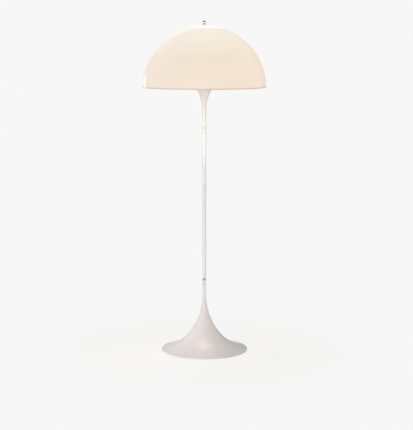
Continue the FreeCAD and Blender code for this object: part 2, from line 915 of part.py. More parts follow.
def shade_ring():
    """Threaded ring with finger grips that clamps the shade carrier on the lampholder's skirt."""
    bore = skirt_thread + fit_gap
    outer = bore + size("ring_width")
    body = bored_cylinder("shade_ring", outer, bore, carrier_top, carrier_top + size("ring_height"))
    grip = new_sketch(body, "grip", "XY_Plane", carrier_top)
    draw_circle(grip, outer, 0, size("ring_grip_diameter") / 2)
    notch = pocket(body, grip, size("ring_height"), reverse=True)
    repeat_around(body, notch, size("ring_grip_count"))


def shade_carrier():
    """Ring on the lampholder, bent wire arms around the bulb and a disc under the dome."""
    bore = skirt_thread + running_gap
    rim = bore + size("carrier_ring_width")
    body = bored_cylinder("shade_carrier", rim, bore, flange_top, carrier_top)
    low = carrier_top + arm_radius - size("arm_weld")
    high = disc_bottom - arm_radius + size("arm_weld")
    upright = size("arm_circle") / 2
    bend = size("arm_bend")
    start = rim - size("arm_lap")
    finish = disc_radius - size("arm_lap")
    crown = upright - finish
    spine = new_sketch(body, "arm_route")
    draw_path(spine, [
        (start, low),
        (upright - bend, low, bend, COUNTERCLOCKWISE),
        (upright, low + bend),
        (upright, high - crown, crown, COUNTERCLOCKWISE),
        (finish, high)], closed=False)
    section = new_sketch(body, "arm_section", "YZ_Plane", start)
    draw_circle(section, 0, low, arm_radius)
    repeat_around(body, pipe(body, section, spine), size("arm_count"))
    disc = new_sketch(body, "disc", "XY_Plane", disc_bottom)
    draw_circle(disc, 0, 0, disc_radius)
    draw_circle(disc, 0, 0, stud_radius + fit_gap)
    body.Tip = pad(body, disc, size("disc_thickness"))


def carrier_stud():
    """Headed stud through the disc, the shade and the cap into the finial."""
    head = size("stud_head_diameter") / 2
    head_bottom = disc_bottom - size("stud_head_height")
    top = finial_bottom + size("finial_thread")
    turned("carrier_stud", [
        (0, head_bottom), (head, head_bottom), (head, disc_bottom),
        (stud_radius, disc_bottom), (stud_radius, top), (0, top)])


def carrier_gasket():
    """Silicone washer between the disc and the dome."""
    bored_cylinder("carrier_gasket", gasket_radius, stud_radius + seat_gap, disc_top, gasket_top)


def shade():
    """Opal acrylic dome, about half a sphere, with a rounded rim."""
    wall = size("shade_wall")
    bore_radius = dome_radius - wall
    hole = size("shade_hole") / 2
    rim_depth = rim_level - dome_centre
    half_wall = wall / 2
    middle = leg(dome_radius - half_wall, rim_depth)
    turned("shade", [
        (leg(dome_radius, rim_depth + half_wall), rim_level + half_wall, dome_radius, COUNTERCLOCKWISE),
        (hole, dome_centre + leg(dome_radius, hole)),
        (hole, dome_centre + leg(bore_radius, hole), bore_radius, CLOCKWISE),
        (leg(bore_radius, rim_depth + half_wall), rim_level + half_wall, wall, COUNTERCLOCKWISE),
        (middle, rim_level, wall, COUNTERCLOCKWISE)])


def finial_cap():
    """Dished washer that follows the top of the dome."""
    bore = stud_radius + running_gap
    outer = size("cap_diameter") / 2
    low = dome_radius + seat_gap
    high = low + size("cap_thickness")
    turned("finial_cap", [
        (bore, dome_centre + leg(low, bore), low, CLOCKWISE),
        (outer, dome_centre + leg(low, outer)),
        (outer, dome_centre + leg(high, outer), high, COUNTERCLOCKWISE),
        (bore, dome_centre + leg(high, bore))])


def finial():
    """Turned ball finial, bored from below for the stud."""
    ball = size("finial_ball") / 2
    centre = size("overall_height") - ball
    neck = size("finial_neck_diameter") / 2
    foot = size("finial_foot_diameter") / 2
    foot_top = finial_bottom + size("finial_foot_height")
    bore = stud_radius + fit_gap
    bore_top = finial_bottom + size("finial_thread") + size("finial_tip")
    turned("finial", [
        (bore, finial_bottom), (foot, finial_bottom), (foot, foot_top), (neck, foot_top),
        (neck, centre - leg(ball, neck), ball, COUNTERCLOCKWISE),
        (ball, centre, ball, COUNTERCLOCKWISE),
        (0, size("overall_height")), (0, bore_top), (bore, bore_top)])


SUB_PARTS = (
    base_shell, base_plate, base_plate_screws, base_pad, base_weight, cord_grommet, terminal_block,
    inner_flex, base_pipe, base_pipe_fixings, neck_collar, stem_tube, stem_bushes, stem_joint_ring,
    reflector, reflector_fixings, upper_pipe, holder_cap, holder_core, holder_skirt,
    holder_screw_shell, holder_contact, bulb_contact, bulb_insulator, bulb_cap, bulb_glass,
    shade_ring, shade_carrier, carrier_stud, carrier_gasket, shade, finial_cap, finial)

for make_sub_part in SUB_PARTS:
    make_sub_part()
doc.recompute()

for item in doc.Objects:
    if "Invalid" in item.State or "Error" in item.State:
        raise RuntimeError(f"{item.Label} did not build: {item.State}")

bodies = [item for item in doc.Objects if item.TypeId == "PartDesign::Body"]
for body in bodies:
    if body.Shape.isNull() or not body.Shape.isValid():
        raise RuntimeError(f"{body.Label} has no valid shape")

os.makedirs("parts", exist_ok=True)
for body in bodies:
    body.Shape.exportStep(os.path.join("parts", f"{body.Label}.step"))
    print(f"{body.Label}: {len(body.Shape.Solids)} solid, {body.Shape.Volume / 1000:.2f} cm3")
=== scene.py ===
"""Looks of the mushroom floor lamp: turned pieces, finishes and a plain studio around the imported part.

Lengths are in metres, in the part's own frame: +Z up, the floor at zero, the cord inlet at +Y.
"""

import json
import math

import bmesh
import bpy
from bpy.props import FloatProperty, FloatVectorProperty, IntProperty, PointerProperty
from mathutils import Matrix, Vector


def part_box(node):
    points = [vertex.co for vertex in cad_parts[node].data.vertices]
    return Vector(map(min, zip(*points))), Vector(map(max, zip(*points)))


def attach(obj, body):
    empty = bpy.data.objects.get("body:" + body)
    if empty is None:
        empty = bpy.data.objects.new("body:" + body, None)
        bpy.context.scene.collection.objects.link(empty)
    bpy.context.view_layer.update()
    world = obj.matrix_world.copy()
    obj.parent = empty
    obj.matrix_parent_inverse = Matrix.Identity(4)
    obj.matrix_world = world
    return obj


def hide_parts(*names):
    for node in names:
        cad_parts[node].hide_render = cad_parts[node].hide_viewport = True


bl_info = {
    "name": "Mushroom floor lamp",
    "version": (1, 0, 0),
    "blender": (4, 5, 0),
    "location": "3D View > Sidebar > Lamp",
    "description": "Turned pieces, finishes and a plain studio for a mushroom floor lamp",
    "category": "Object",
}

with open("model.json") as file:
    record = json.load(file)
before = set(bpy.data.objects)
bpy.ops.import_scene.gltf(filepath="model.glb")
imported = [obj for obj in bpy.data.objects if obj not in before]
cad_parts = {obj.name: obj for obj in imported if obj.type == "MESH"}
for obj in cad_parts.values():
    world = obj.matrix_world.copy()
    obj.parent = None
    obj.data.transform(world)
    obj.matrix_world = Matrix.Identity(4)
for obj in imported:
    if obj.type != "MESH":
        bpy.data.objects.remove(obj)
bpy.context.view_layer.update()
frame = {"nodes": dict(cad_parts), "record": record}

COUNTERCLOCKWISE = 1
CLOCKWISE = -1
MIX_FACTOR, MIX_A, MIX_B, MIX_RESULT = 0, 6, 7, 2
MM = 0.001
ARC_STEP = 3  # degrees between the points of an arc
SOFT_TURN = math.radians(25)  # corners that turn by more are rounded
SHARP_TURN = math.radians(40)  # edges that turn by more are shaded as sharp
THREAD_STEPS = 10  # points for each turn of a thread
MERGE = 1e-6  # distance within which a seam or a pole is closed
GRIP_START = 0.5  # share of the ripple around a ring from which its grips are cut
WIRE_SIDES = 24  # of a wire's round section
NOTCH_START, NOTCH_LENGTH = 4, 6  # of the notch's cutter, in half widths of the notch
NOTCH_STEPS = 24  # around the notch's arch
SCUFFED = (0.5, 0.65)  # noise levels between which a scuff sets in
WAVE_RATE = 20  # radians that a wave texture runs through in one unit of its scale
SENSOR_HEIGHT = 36  # of the camera, in mm
VIEW_RANGE = 50  # of the camera, in m


def linear(hex_value):
    """Linear RGBA of an sRGB hex colour."""
    channels = [int(hex_value[place:place + 2], 16) / 255 for place in (0, 2, 4)]
    straight = [c / 12.92 if c <= 0.04045 else ((c + 0.055) / 1.055) ** 2.4 for c in channels]
    return (*straight, 1.0)


# Settings that a user can change

def length(name, description, millimetres):
    return FloatProperty(
        name=name, description=description, default=millimetres * MM, min=0.0, precision=5,
        unit="LENGTH")


def tint(name, description, hex_value):
    return FloatVectorProperty(
        name=name, description=description, default=linear(hex_value), size=4, min=0.0, max=1.0,
        subtype="COLOR")


def angle(name, description, degrees):
    return FloatProperty(
        name=name, description=description, default=math.radians(degrees), subtype="ANGLE")


def power(name, description, watts):
    return FloatProperty(name=name, description=description, default=watts, min=0.0, unit="POWER")


def strength(name, description, value):
    return FloatProperty(name=name, description=description, default=value, min=0.0)


def count(name, description, value):
    return IntProperty(name=name, description=description, default=value, min=1)


class LampSizes(bpy.types.PropertyGroup):
    """Sizes that the solids' boxes do not give."""

    neck: length("Foot neck", "Straight neck of the foot under the collar", 47)
    foot_sheet: length("Foot sheet", "Sheet thickness of the spun foot", 1.5)
    flare_turn: angle("Flare turn", "Turn of the foot's upper flare arc", 35)
    brim_slope: angle("Brim slope", "Slope of the brim where it meets the lip", 10)
    lip: length("Lip radius", "Outside radius of the turned-down lip", 3)
    notch: length("Cord notch", "Half width of the notch around the cord grommet", 4.2)
    notch_level: length("Cord level", "Height of the cord inlet above the floor", 5.4)
    pad_width: length("Pad width", "Width of the felt ring", 70)
    seat: length("Seat gap", "Gap between pieces that rest on each other", 0.2)
    fit: length("Fit", "Gap around a spigot or a threaded piece", 0.05)
    band: length("Collar band", "Height of each band and groove of the collar", 4)
    throat: length("Collar throat", "Narrow part of the collar under the stem", 9)
    spigot: length("Spigot", "Depth of the spigots in the foot and the reflector", 8)
    stem_wall: length("Stem wall", "Wall of the stem tube", 1.2)
    thread: length("Pipe thread", "Radius of the threaded holes", 5.05)
    pipe_bore: length("Pipe bore", "Radius of the wire way through the pipe", 3.7)
    fine_pitch: length("Fine pitch", "Pitch of the pipe's and the stud's threads", 1)
    fine_depth: length("Fine depth", "Depth of the pipe's and the stud's threads", 0.45)
    flare: length("Reflector flare", "Radius of the reflector's flare", 140)
    flare_drop: length("Reflector neck", "Start of the flare below the shade's rim", 85)
    reflector_sheet: length("Reflector sheet", "Sheet thickness of the reflector", 1.2)
    bead: length("Reflector bead", "Radius of the rolled bead at the mouth", 1.6)
    holder_wall: length("Holder wall", "Wall of the lampholder's cap and skirt", 2)
    boss: length("Cap boss", "Radius of the boss under the lampholder's cap", 8.5)
    boss_height: length("Cap boss height", "Height of that boss", 4)
    cap_floor: length("Cap floor", "Height of the cap's floor over its bottom", 9)
    shoulder: length("Cap shoulder", "Height of the cap's shoulder over its bottom", 14)
    skirt_depth: length("Skirt thread", "Depth of the thread on the skirt", 0.5)
    skirt_pitch: length("Skirt pitch", "Pitch of the thread on the skirt", 2.5)
    shell_wall: length("Shell wall", "Sheet thickness of the screw shell", 0.5)
    grip: length("Grip depth", "Depth of the finger grips around the shade ring", 1.3)
    grips: count("Grips", "Finger grips around the shade ring", 12)
    bulb_pitch: length("Bulb pitch", "Pitch of the bulb's screw thread", 3.629)
    bulb_depth: length("Bulb thread", "Depth of the bulb's rolled thread", 0.8)
    bulb_root: length("Bulb root", "Radius inside which the bulb's thread is not cut", 11)
    bulb_neck: length("Bulb neck", "Radius of the glass where it meets the cap", 14)
    bulb_curve: length("Bulb curve", "Radius of the curve between globe and neck", 40)
    bulb_wall: length("Bulb wall", "Wall of the bulb's glass", 1)
    cap_wall: length("Bulb cap wall", "Sheet thickness of the bulb's cap", 0.4)
    cap_bevel: length("Bulb cap bevel", "Bevel at the bottom of the bulb's cap", 2.4)
    wire: length("Arm wire", "Radius of the carrier's wire arms", 2)
    weld: length("Weld", "Depth to which an arm sinks into what it is welded to", 0.5)
    lap: length("Lap", "Length of an arm that lies on the ring or the disc", 4)
    ring_bore: length("Ring bore", "Bore of the carrier's ring", 19.3)
    ring_width: length("Ring width", "Width of the carrier's ring", 8)
    disc: length("Disc", "Radius of the carrier's disc", 18)
    arm: length("Arm reach", "Distance of the arms from the axis", 52)
    bend: length("Arm bend", "Radius of an arm's lower bend", 12)
    arms: count("Arms", "Arms of the carrier", 3)
    stud: length("Stud", "Radius of the stud through the shade", 3)
    stud_head: length("Stud head", "Height of the stud's head", 3)
    stud_plain: length("Stud shank", "Plain length of the stud over the disc", 4)
    shade_wall: length("Shade wall", "Wall of the dome", 3)
    shade_hole: length("Shade hole", "Radius of the hole for the stud", 3.6)
    # Height over which the dome's painted glow is darker at its cut edge
    shade_edge: length("Shade edge", "Height of the darker cut edge, and of its fade above", 3)
    cap_sheet: length("Finial cap", "Thickness of the dished cap", 2)
    cap_bore: length("Finial cap bore", "Radius of the hole in the dished cap", 3.3)
    finial_neck: length("Finial neck", "Radius of the finial's neck", 4.5)
    finial_foot: length("Finial foot", "Radius of the finial's foot", 6.5)
    finial_step: length("Finial step", "Height of the finial's foot", 1.5)
    finial_bore: length("Finial bore", "Radius of the finial's blind hole", 3.05)
    finial_depth: length("Finial depth", "Depth of the finial's blind hole", 9)
    edge: length("Edge radius", "Softness of the turned edges", 0.35)
    moulded_edge: length("Moulded edge", "Softness of moulded and felt edges", 0.7)
    sheet_edge: length("Sheet edge", "Softness of thin rolled sheet", 0.1)
    scuff_top: length("Scuff top", "Height above the floor at which the lacquer's scuffs end", 9)
    scuff_full: length("Scuff full", "Height above the floor at which they are fullest", 1)
    # Where the collar's painted shade lies: radii outside the grooves' floor where it is full and where
    # it ends, and the height over which the throat's darker painted shade sets in
    groove_dull: length("Groove, dull", "Radius outside the grooves' floor that is still dull", 0.2)
    groove_bright: length("Groove, bright", "Radius outside the grooves' floor that is bright", 0.8)
    throat_fade: length("Throat fade", "Height over which the throat's dull tone sets in", 1)
    segments: count("Segments", "Steps around a turned piece", 144)
    foot_segments: count("Foot segments", "Steps around the foot", 240)
    shade_segments: count("Shade segments", "Steps around the dome", 256)
    ring_segments: count("Ring segments", "Steps around the shade ring and its grips", 288)
    pipe_segments: count("Pipe segments", "Steps around the threaded pipe", 64)
    stud_segments: count("Stud segments", "Steps around the threaded stud", 48)


class LampColours(bpy.types.PropertyGroup):
    """Colours of the finishes that show."""

    lacquer: tint("Lacquer", "Gloss lacquer of foot, stem and reflector", "EEECEB")
    lacquer_drift: tint("Lacquer drift", "Slightly darker patches in the lacquer", "E8E5E4")
    scuff: tint("Scuffs", "Grey scuffs in the lacquer near the floor", "D6D1CC")
    unlit: tint("Dome, unlit", "Opal acrylic by daylight", "CEC4B8")
    unlit_drift: tint("Dome, unlit drift", "Slightly darker clouds in the acrylic", "C8BDB0")
    # Painted glow of the dome: emission tones that stand in for the bulb's light through the acrylic,
    # darker at the cut edge, whiter to the top
    dome_edge: tint("Dome, edge", "Glow of the acrylic's cut edge", "B89C92")
    dome_rim: tint("Dome, rim", "Glow of the acrylic near the rim", "F1E0CF")
    dome_middle: tint("Dome, middle", "Glow of the acrylic half way up", "F3E4D3")
    dome_top: tint("Dome, top", "Glow of the acrylic near the top", "FDFBED")
    glow: tint("Bulb glow", "Warm light of the bulb", "FFF6DC")
    bulb: tint("Bulb", "Opal coating of the bulb by daylight", "FAF6EE")
    bulb_drift: tint("Bulb drift", "Slightly darker clouds in that coating", "F3EDE2")
    chrome: tint("Chrome", "Polished plate of the fittings", "F6F6F6")
    chrome_drift: tint("Chrome drift", "Slightly bluer clouds in the plate", "ECEDEE")
    # Painted shade on the collar: tones for the grooves and, darker, for the throat under the stem,
    # where shade falls
    groove: tint("Grooves", "Dull plate in the turned grooves", "D8D8D7")
    throat: tint("Throat", "Duller plate in the collar's tall throat", "B4B3B2")


class StudioSettings(bpy.types.PropertyGroup):
    """Camera and lights of the plain studio."""

    lens: FloatProperty(name="Lens", description="Focal length in mm", default=105.2)
    distance: length("Distance", "Camera's distance in front of the stem", 5100)
    sideways: length("Sideways", "Camera's place to the right of the stem", 9)
    height: length("Height", "Camera's height above the floor", 1253)
    tilt: angle("Tilt", "Camera's tilt below the horizon", 7.71)
    background: tint("Background", "Paper sweep behind the lamp", "F7F7F7")
    ceiling: tint("Ceiling", "Dark ceiling that polished surfaces mirror", "3A3A3A")
    wall_left: tint("Left wall", "Left half of the grey wall behind that gloss mirrors", "C0C0C0")
    wall_right: tint("Right wall", "Right half of that wall", "8E8E8E")
    warm_side: tint("Warm side", "Soft light from the right of the lamp", "C8A000")
    ambient: strength("Ambient", "Strength of the soft light all around", 0.64)
    key: power("Key", "Power of the gridded soft box low at the left", 0.38)
    fill: power("Fill", "Power of the warm soft box at the right", 5)
    strip: power("Strip", "Power of the strip behind, left", 1.05)
    back: power("Back", "Power of the box behind the lamp, seen only as glints", 1.0)
    spot: power("Spot", "Power of the warm spot on the upper stem", 0.086)
    stem: power("Stem", "Power of the cool box on the lower stem", 0.172)
    opening: power("Opening", "Power of the shade's lit opening, seen only as a glint on the foot", 0.9)
    bulb: strength("Bulb", "Strength of the lit bulb", 7)
    # Strength of the dome's painted glow, an emission that stands in for the bulb's light through it
    dome: strength("Dome", "Strength of the dome's own glow", 0.58)
    floor: length("Floor", "Half width of the paper floor", 4000)
    shadow: strength("Shadow", "Share of the floor's tone that takes shadow near the foot", 0.2)
    shadow_full: length("Shadow, full", "Distance from the stem up to which that share holds", 250)
    shadow_end: length("Shadow, end", "Distance from the stem at which no shadow is left", 800)
    open_floor: strength("Open floor", "Light on the open floor, where white is one", 0.82)
    bounce: tint("Bounce", "Paper floor as it throws light back on the lamp", "EBEBEB")


def sizes():
    return bpy.context.scene.lamp_sizes


def colours():
    return bpy.context.scene.lamp_colours


def studio():
    return bpy.context.scene.lamp_studio


def add(tree, kind, inputs=None, **settings):
    """Adds a node with its settings and inputs."""
    node = tree.nodes.new(kind)
    for name, value in settings.items():
        setattr(node, name, value)
    fill_in(tree, node, inputs or {})
    return node


def fill_in(tree, node, inputs):
    """Sets a node's inputs, and links those that are given as another node's output."""
    for name, value in inputs.items():
        if isinstance(value, bpy.types.NodeSocket):
            tree.links.new(value, node.inputs[name])
        else:
            node.inputs[name].default_value = value


# Outlines of turned pieces, as points of radius and height

def reach(node):
    """Largest radius, lowest and highest level of a node turned about the stem's axis."""
    low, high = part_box(node)
    return high.x, low.z, high.z


def leg(long_side, short_side):
    """The other short side of a right-angled triangle."""
    return math.sqrt(long_side ** 2 - short_side ** 2)


def dome():
    """Radius and centre level of the dome's sphere."""
    radius, rim, top = reach("shade")
    rise = top - rim
    globe = (radius ** 2 + rise ** 2) / (2 * rise)
    return globe, top - globe


def arc_points(start, stop, radius, turn):
    """Points inside the lesser arc from start to stop."""
    chord = stop - start
    rise = math.sqrt(max(radius ** 2 - (chord.length / 2) ** 2, 0.0))
    normal = Vector((-chord.y, chord.x)).normalized()
    centre = (start + stop) / 2 + normal * rise * turn
    first = math.atan2(start.y - centre.y, start.x - centre.x)
    sweep = 2 * math.asin(min(chord.length / 2 / radius, 1.0)) * turn
    steps = max(2, round(abs(math.degrees(sweep)) / ARC_STEP))
    for number in range(1, steps):
        at = first + sweep * number / steps
        yield centre + Vector((math.cos(at), math.sin(at))) * radius


def softened(points, closed, radius):
    """Rounds the corners of an outline that turn by more than an arc's own steps do."""
    longest = 0.4
    steps = 4
    result = []
    for number, corner in enumerate(points):
        if not closed and number in (0, len(points) - 1):
            result.append(corner)
            continue
        back = points[number - 1] - corner
        ahead = points[(number + 1) % len(points)] - corner
        if math.pi - back.angle(ahead) < SOFT_TURN:
            result.append(corner)
            continue
        cut = min(radius, longest * back.length, longest * ahead.length)
        start = corner + back.normalized() * cut
        stop = corner + ahead.normalized() * cut
        for step in range(steps + 1):
            share = step / steps
            result.append(
                start * (1 - share) ** 2 + corner * 2 * share * (1 - share) + stop * share ** 2)
    return result


def outline(corners, closed=True, edge=None):
    """Points along corners of radius and height, and of an arc's radius and turn where one starts."""
    ends = [Vector(corner[:2]) for corner in corners]
    points = []
    for number, corner in enumerate(corners):
        points.append(ends[number])
        if len(corner) == 4:
            stop = ends[(number + 1) % len(ends)]
            points += arc_points(ends[number], stop, corner[2], corner[3])
    points = softened(points, closed, edge or sizes().edge)
    return points + points[:1] if closed else points


def tube(inner, outer, low, high, edge=None):
    """Outline of a plain ring or tube."""
    return outline([(inner, low), (outer, low), (outer, high), (inner, high)], edge=edge)


def divided(points, thread_bottom, thread_top, thread_pitch, cut_radius, **_):
    """Adds points on the stretches that a thread is cut into."""
    step = thread_pitch / THREAD_STEPS
    result = []
    for start, stop in zip(points, points[1:]):
        result.append(start)
        low, high = sorted((start.y, stop.y))
        cut = low < thread_top and high > thread_bottom and max(start.x, stop.x) > cut_radius
        parts = math.ceil((stop - start).length / step) if cut else 1
        result += [start.lerp(stop, number / parts) for number in range(1, parts)]
    return result + [points[-1]]


# Geometry node trees: their inputs, and their nodes as rows of name, kind, inputs and settings

MATH = "ShaderNodeMath"
ADD, SUBTRACT, MULTIPLY, DIVIDE = (
    {"operation": name} for name in ("ADD", "SUBTRACT", "MULTIPLY", "DIVIDE"))
SMOOTH = {"interpolation_type": "SMOOTHSTEP"}

LATHE_INPUTS = (
    ("Outline", "NodeSocketGeometry", None),
    ("Segments", "NodeSocketInt", 144),
    ("Cut Radius", "NodeSocketFloat", 0.0),
    ("Thread Depth", "NodeSocketFloat", 0.0),
    ("Thread Pitch", "NodeSocketFloat", MM),
    ("Thread Bottom", "NodeSocketFloat", 0.0),
    ("Thread Top", "NodeSocketFloat", 0.0),
    ("Thread Fade", "NodeSocketFloat", MM),
    ("Grip Count", "NodeSocketInt", 0),
    ("Grip Depth", "NodeSocketFloat", 0.0),
    ("Material", "NodeSocketMaterial", None),
)
# Turns an outline about Z, and cuts a helical thread or finger grips into its outer face
LATHE_STEPS = (
    ("outline", "GeometryNodeAttributeDomainSize", {
        "Geometry": "given.Outline"}, {"component": "MESH"}),
    ("columns", MATH, {0: "given.Segments", 1: 1.0}, ADD),
    ("grid", "GeometryNodeMeshGrid", {
        "Vertices X": "columns.Value", "Vertices Y": "outline.Point Count"}, {}),
    ("index", "GeometryNodeInputIndex", {}, {}),
    ("row", MATH, {0: "index.Index", 1: "outline.Point Count"}, {"operation": "MODULO"}),
    ("place", "GeometryNodeInputPosition", {}, {}),
    ("point", "GeometryNodeSampleIndex", {
        "Geometry": "given.Outline", "Value": "place.Position", "Index": "row.Value"},
        {"data_type": "FLOAT_VECTOR", "domain": "POINT"}),
    ("at", "ShaderNodeSeparateXYZ", {0: "point.Value"}, {}),
    ("share", "ShaderNodeSeparateXYZ", {0: "grid.UV Map"}, {}),
    ("turn", MATH, {0: "share.X", 1: math.tau}, MULTIPLY),
    ("full_low", MATH, {0: "given.Thread Bottom", 1: "given.Thread Fade"}, ADD),
    ("full_high", MATH, {0: "given.Thread Top", 1: "given.Thread Fade"}, SUBTRACT),
    ("rise", "ShaderNodeMapRange", {
        "Value": "at.Z", "From Min": "given.Thread Bottom", "From Max": "full_low.Value"}, SMOOTH),
    ("fall", "ShaderNodeMapRange", {
        "Value": "at.Z", "From Min": "given.Thread Top", "From Max": "full_high.Value"}, SMOOTH),
    ("fade", MATH, {0: "rise.Result", 1: "fall.Result"}, MULTIPLY),
    ("turns", MATH, {0: "at.Z", 1: "given.Thread Pitch"}, DIVIDE),
    ("climb", MATH, {0: "turns.Value", 1: math.tau}, MULTIPLY),
    ("phase", MATH, {0: "climb.Value", 1: "turn.Value"}, SUBTRACT),
    ("wave", MATH, {0: "phase.Value"}, {"operation": "COSINE"}),
    ("groove", "ShaderNodeMapRange", {
        "Value": "wave.Value", "From Min": -1.0, "To Max": "given.Thread Depth"}, {}),
    ("thread", MATH, {0: "groove.Result", 1: "fade.Value"}, MULTIPLY),
    ("lobes", MATH, {0: "turn.Value", 1: "given.Grip Count"}, MULTIPLY),
    ("ripple", MATH, {0: "lobes.Value"}, {"operation": "COSINE"}),
    ("grip", "ShaderNodeMapRange", {
        "Value": "ripple.Value", "From Min": GRIP_START, "To Max": "given.Grip Depth"}, SMOOTH),
    ("both", MATH, {0: "thread.Value", 1: "grip.Result"}, ADD),
    ("outer", MATH, {0: "at.X", 1: "given.Cut Radius"}, {"operation": "GREATER_THAN"}),
    ("cut", MATH, {0: "both.Value", 1: "outer.Value"}, MULTIPLY),
    ("radius", MATH, {0: "at.X", 1: "cut.Value"}, SUBTRACT),
    ("flat", "ShaderNodeCombineXYZ", {"X": "radius.Value", "Z": "at.Z"}, {}),
    ("around", "ShaderNodeVectorRotate", {"Vector": "flat.Vector", "Angle": "turn.Value"},
        {"rotation_type": "Z_AXIS"}),
    ("moved", "GeometryNodeSetPosition", {"Geometry": "grid.Mesh", "Position": "around.Vector"}, {}),
    ("shape", "GeometryNodeMergeByDistance", {"Geometry": "moved.Geometry", "Distance": MERGE}, {}),
)

ARM_INPUTS = (
    ("Route", "NodeSocketGeometry", None),
    ("Wire Radius", "NodeSocketFloat", 2 * MM),
    ("Count", "NodeSocketInt", 3),
    ("Material", "NodeSocketMaterial", None),
)
# Sweeps a round wire along a route and repeats it about Z
ARM_STEPS = (
    ("route", "GeometryNodeMeshToCurve", {"Mesh": "given.Route"}, {}),
    ("section", "GeometryNodeCurvePrimitiveCircle", {
        "Resolution": WIRE_SIDES, "Radius": "given.Wire Radius"}, {}),
    ("wire", "GeometryNodeCurveToMesh", {
        "Curve": "route.Curve", "Profile Curve": "section.Curve", "Fill Caps": True}, {}),
    ("single", "GeometryNodeGeometryToInstance", {"Geometry": "wire.Mesh"}, {}),
    ("copies", "GeometryNodeDuplicateElements", {
        "Geometry": "single.Instances", "Amount": "given.Count"}, {"domain": "INSTANCE"}),
    ("share", MATH, {0: "copies.Duplicate Index", 1: "given.Count"}, DIVIDE),
    ("turn", MATH, {0: "share.Value", 1: math.tau}, MULTIPLY),
    ("spin", "ShaderNodeCombineXYZ", {"Z": "turn.Value"}, {}),
    ("shape", "GeometryNodeRotateInstances", {
        "Instances": "copies.Geometry", "Rotation": "spin.Vector"}, {}),
)
TREES = {
    "turned_piece": (LATHE_INPUTS, LATHE_STEPS, "shape.Geometry"),
    "bent_wire_arms": (ARM_INPUTS, ARM_STEPS, "shape.Instances"),
}


def new_tree(name):
    """Builds a geometry tree; a text such as "at.Z" in its rows stands for that output of that node."""
    tree = bpy.data.node_groups.new(name, "GeometryNodeTree")
    tree.is_modifier = True
    tree.interface.new_socket("Mesh", in_out="OUTPUT", socket_type="NodeSocketGeometry")
    inputs, steps, shape = TREES[name]
    last_steps = (
        ("real", "GeometryNodeRealizeInstances", {"Geometry": shape}, {}),
        ("dressed", "GeometryNodeSetMaterial", {
            "Geometry": "real.Geometry", "Material": "given.Material"}, {}),
        ("result", "NodeGroupOutput", {"Mesh": "dressed.Geometry"}, {}),
    )
    for label, kind, default in inputs:
        socket = tree.interface.new_socket(label, in_out="INPUT", socket_type=kind)
        if default is not None:
            socket.default_value = default
    made = {"given": add(tree, "NodeGroupInput")}
    for label, kind, values, settings in steps + last_steps:
        ready = {}
        for socket, value in values.items():
            if isinstance(value, str):
                source, output = value.split(".")
                value = made[source].outputs[output]
            ready[socket] = value
        made[label] = add(tree, kind, ready, **settings)
    return tree


def settle(piece, mesh):
    """Gives a piece its final mesh: no doubles, normals outwards, smooth but for its sharp edges."""
    shape = bmesh.new()
    shape.from_mesh(mesh)
    bmesh.ops.remove_doubles(shape, verts=shape.verts, dist=MERGE)
    bmesh.ops.recalc_face_normals(shape, faces=shape.faces)
    shape.to_mesh(mesh)
    shape.free()
    mesh.shade_smooth()
    mesh.set_sharp_from_angle(angle=SHARP_TURN)
    mesh.name = piece.name
    rough = piece.data
    piece.modifiers.clear()
    piece.data = mesh
    bpy.data.meshes.remove(rough)


def baked_mesh(piece):
    graph = bpy.context.evaluated_depsgraph_get()
    return bpy.data.meshes.new_from_object(piece.evaluated_get(graph))


def grown(name, points, tree_name, inputs):
    """A piece grown by a geometry tree from points on the XZ plane."""
    mesh = bpy.data.meshes.new(f"{name}_line")
    stretches = [(number, number + 1) for number in range(len(points) - 1)]
    mesh.from_pydata([(point.x, 0.0, point.y) for point in points], stretches, [])
    piece = bpy.data.objects.new(name, mesh)
    bpy.context.scene.collection.objects.link(piece)
    tree = bpy.data.node_groups.get(tree_name) or new_tree(tree_name)
    modifier = piece.modifiers.new(tree_name, "NODES")
    modifier.node_group = tree
    for socket in tree.interface.items_tree:
        if socket.in_out == "INPUT" and socket.name in inputs:
            modifier[socket.identifier] = inputs[socket.name]
    settle(piece, baked_mesh(piece))
    return piece


def enrol(piece, body, slot, *nodes):
    """Ties a finished piece to its body and hides the nodes that it stands for; the slot is not used."""
    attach(piece, body)
    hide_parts(*nodes)


def turned(node, points, slot, body="stand", name=None, look=None, **cuts):
    """A turned piece that stands for a node, with a thread or grips cut into it."""
    inputs = {"Segments": sizes().segments, "Material": finish(look or slot)}
    inputs.update({label.replace("_", " ").title(): value for label, value in cuts.items()})
    if "thread_pitch" in cuts:
        points = divided(points, **cuts)
    piece = grown(name or f"{node}_turned", points, "turned_piece", inputs)
    enrol(piece, body, slot, node)
    return piece


# Finishes

METAL = {"Metallic": 1.0}


def per(millimetres):
    """Scale of a noise whose grains are this far apart."""
    return 1 / (millimetres * MM)


def bands(millimetres):
    """Scale of a wave texture whose lines are this far apart."""
    return math.tau / WAVE_RATE / (millimetres * MM)


def new_finish(name, inputs):
    """A material with one surface shader, and the object coordinates to draw its patterns on."""
    material = bpy.data.materials.new(name)
    material.use_nodes = True
    tree = material.node_tree
    tree.nodes.clear()
    surface = add(tree, "ShaderNodeBsdfPrincipled", inputs)
    add(tree, "ShaderNodeOutputMaterial", {"Surface": surface.outputs[0]})
    place = add(tree, "ShaderNodeTexCoord").outputs["Object"]
    return material, tree, surface.inputs, place


def mottled(tree, place, first, second, grain):
    """Noise of a real grain size, and a colour that drifts between two tones with it."""
    noise = add(tree, "ShaderNodeTexNoise", {"Vector": place, "Scale": per(grain), "Detail": 3.0})
    tone = add(tree, "ShaderNodeMix", {
        MIX_FACTOR: noise.outputs[0], MIX_A: first, MIX_B: second}, data_type="RGBA")
    return noise.outputs[0], tone.outputs[MIX_RESULT]


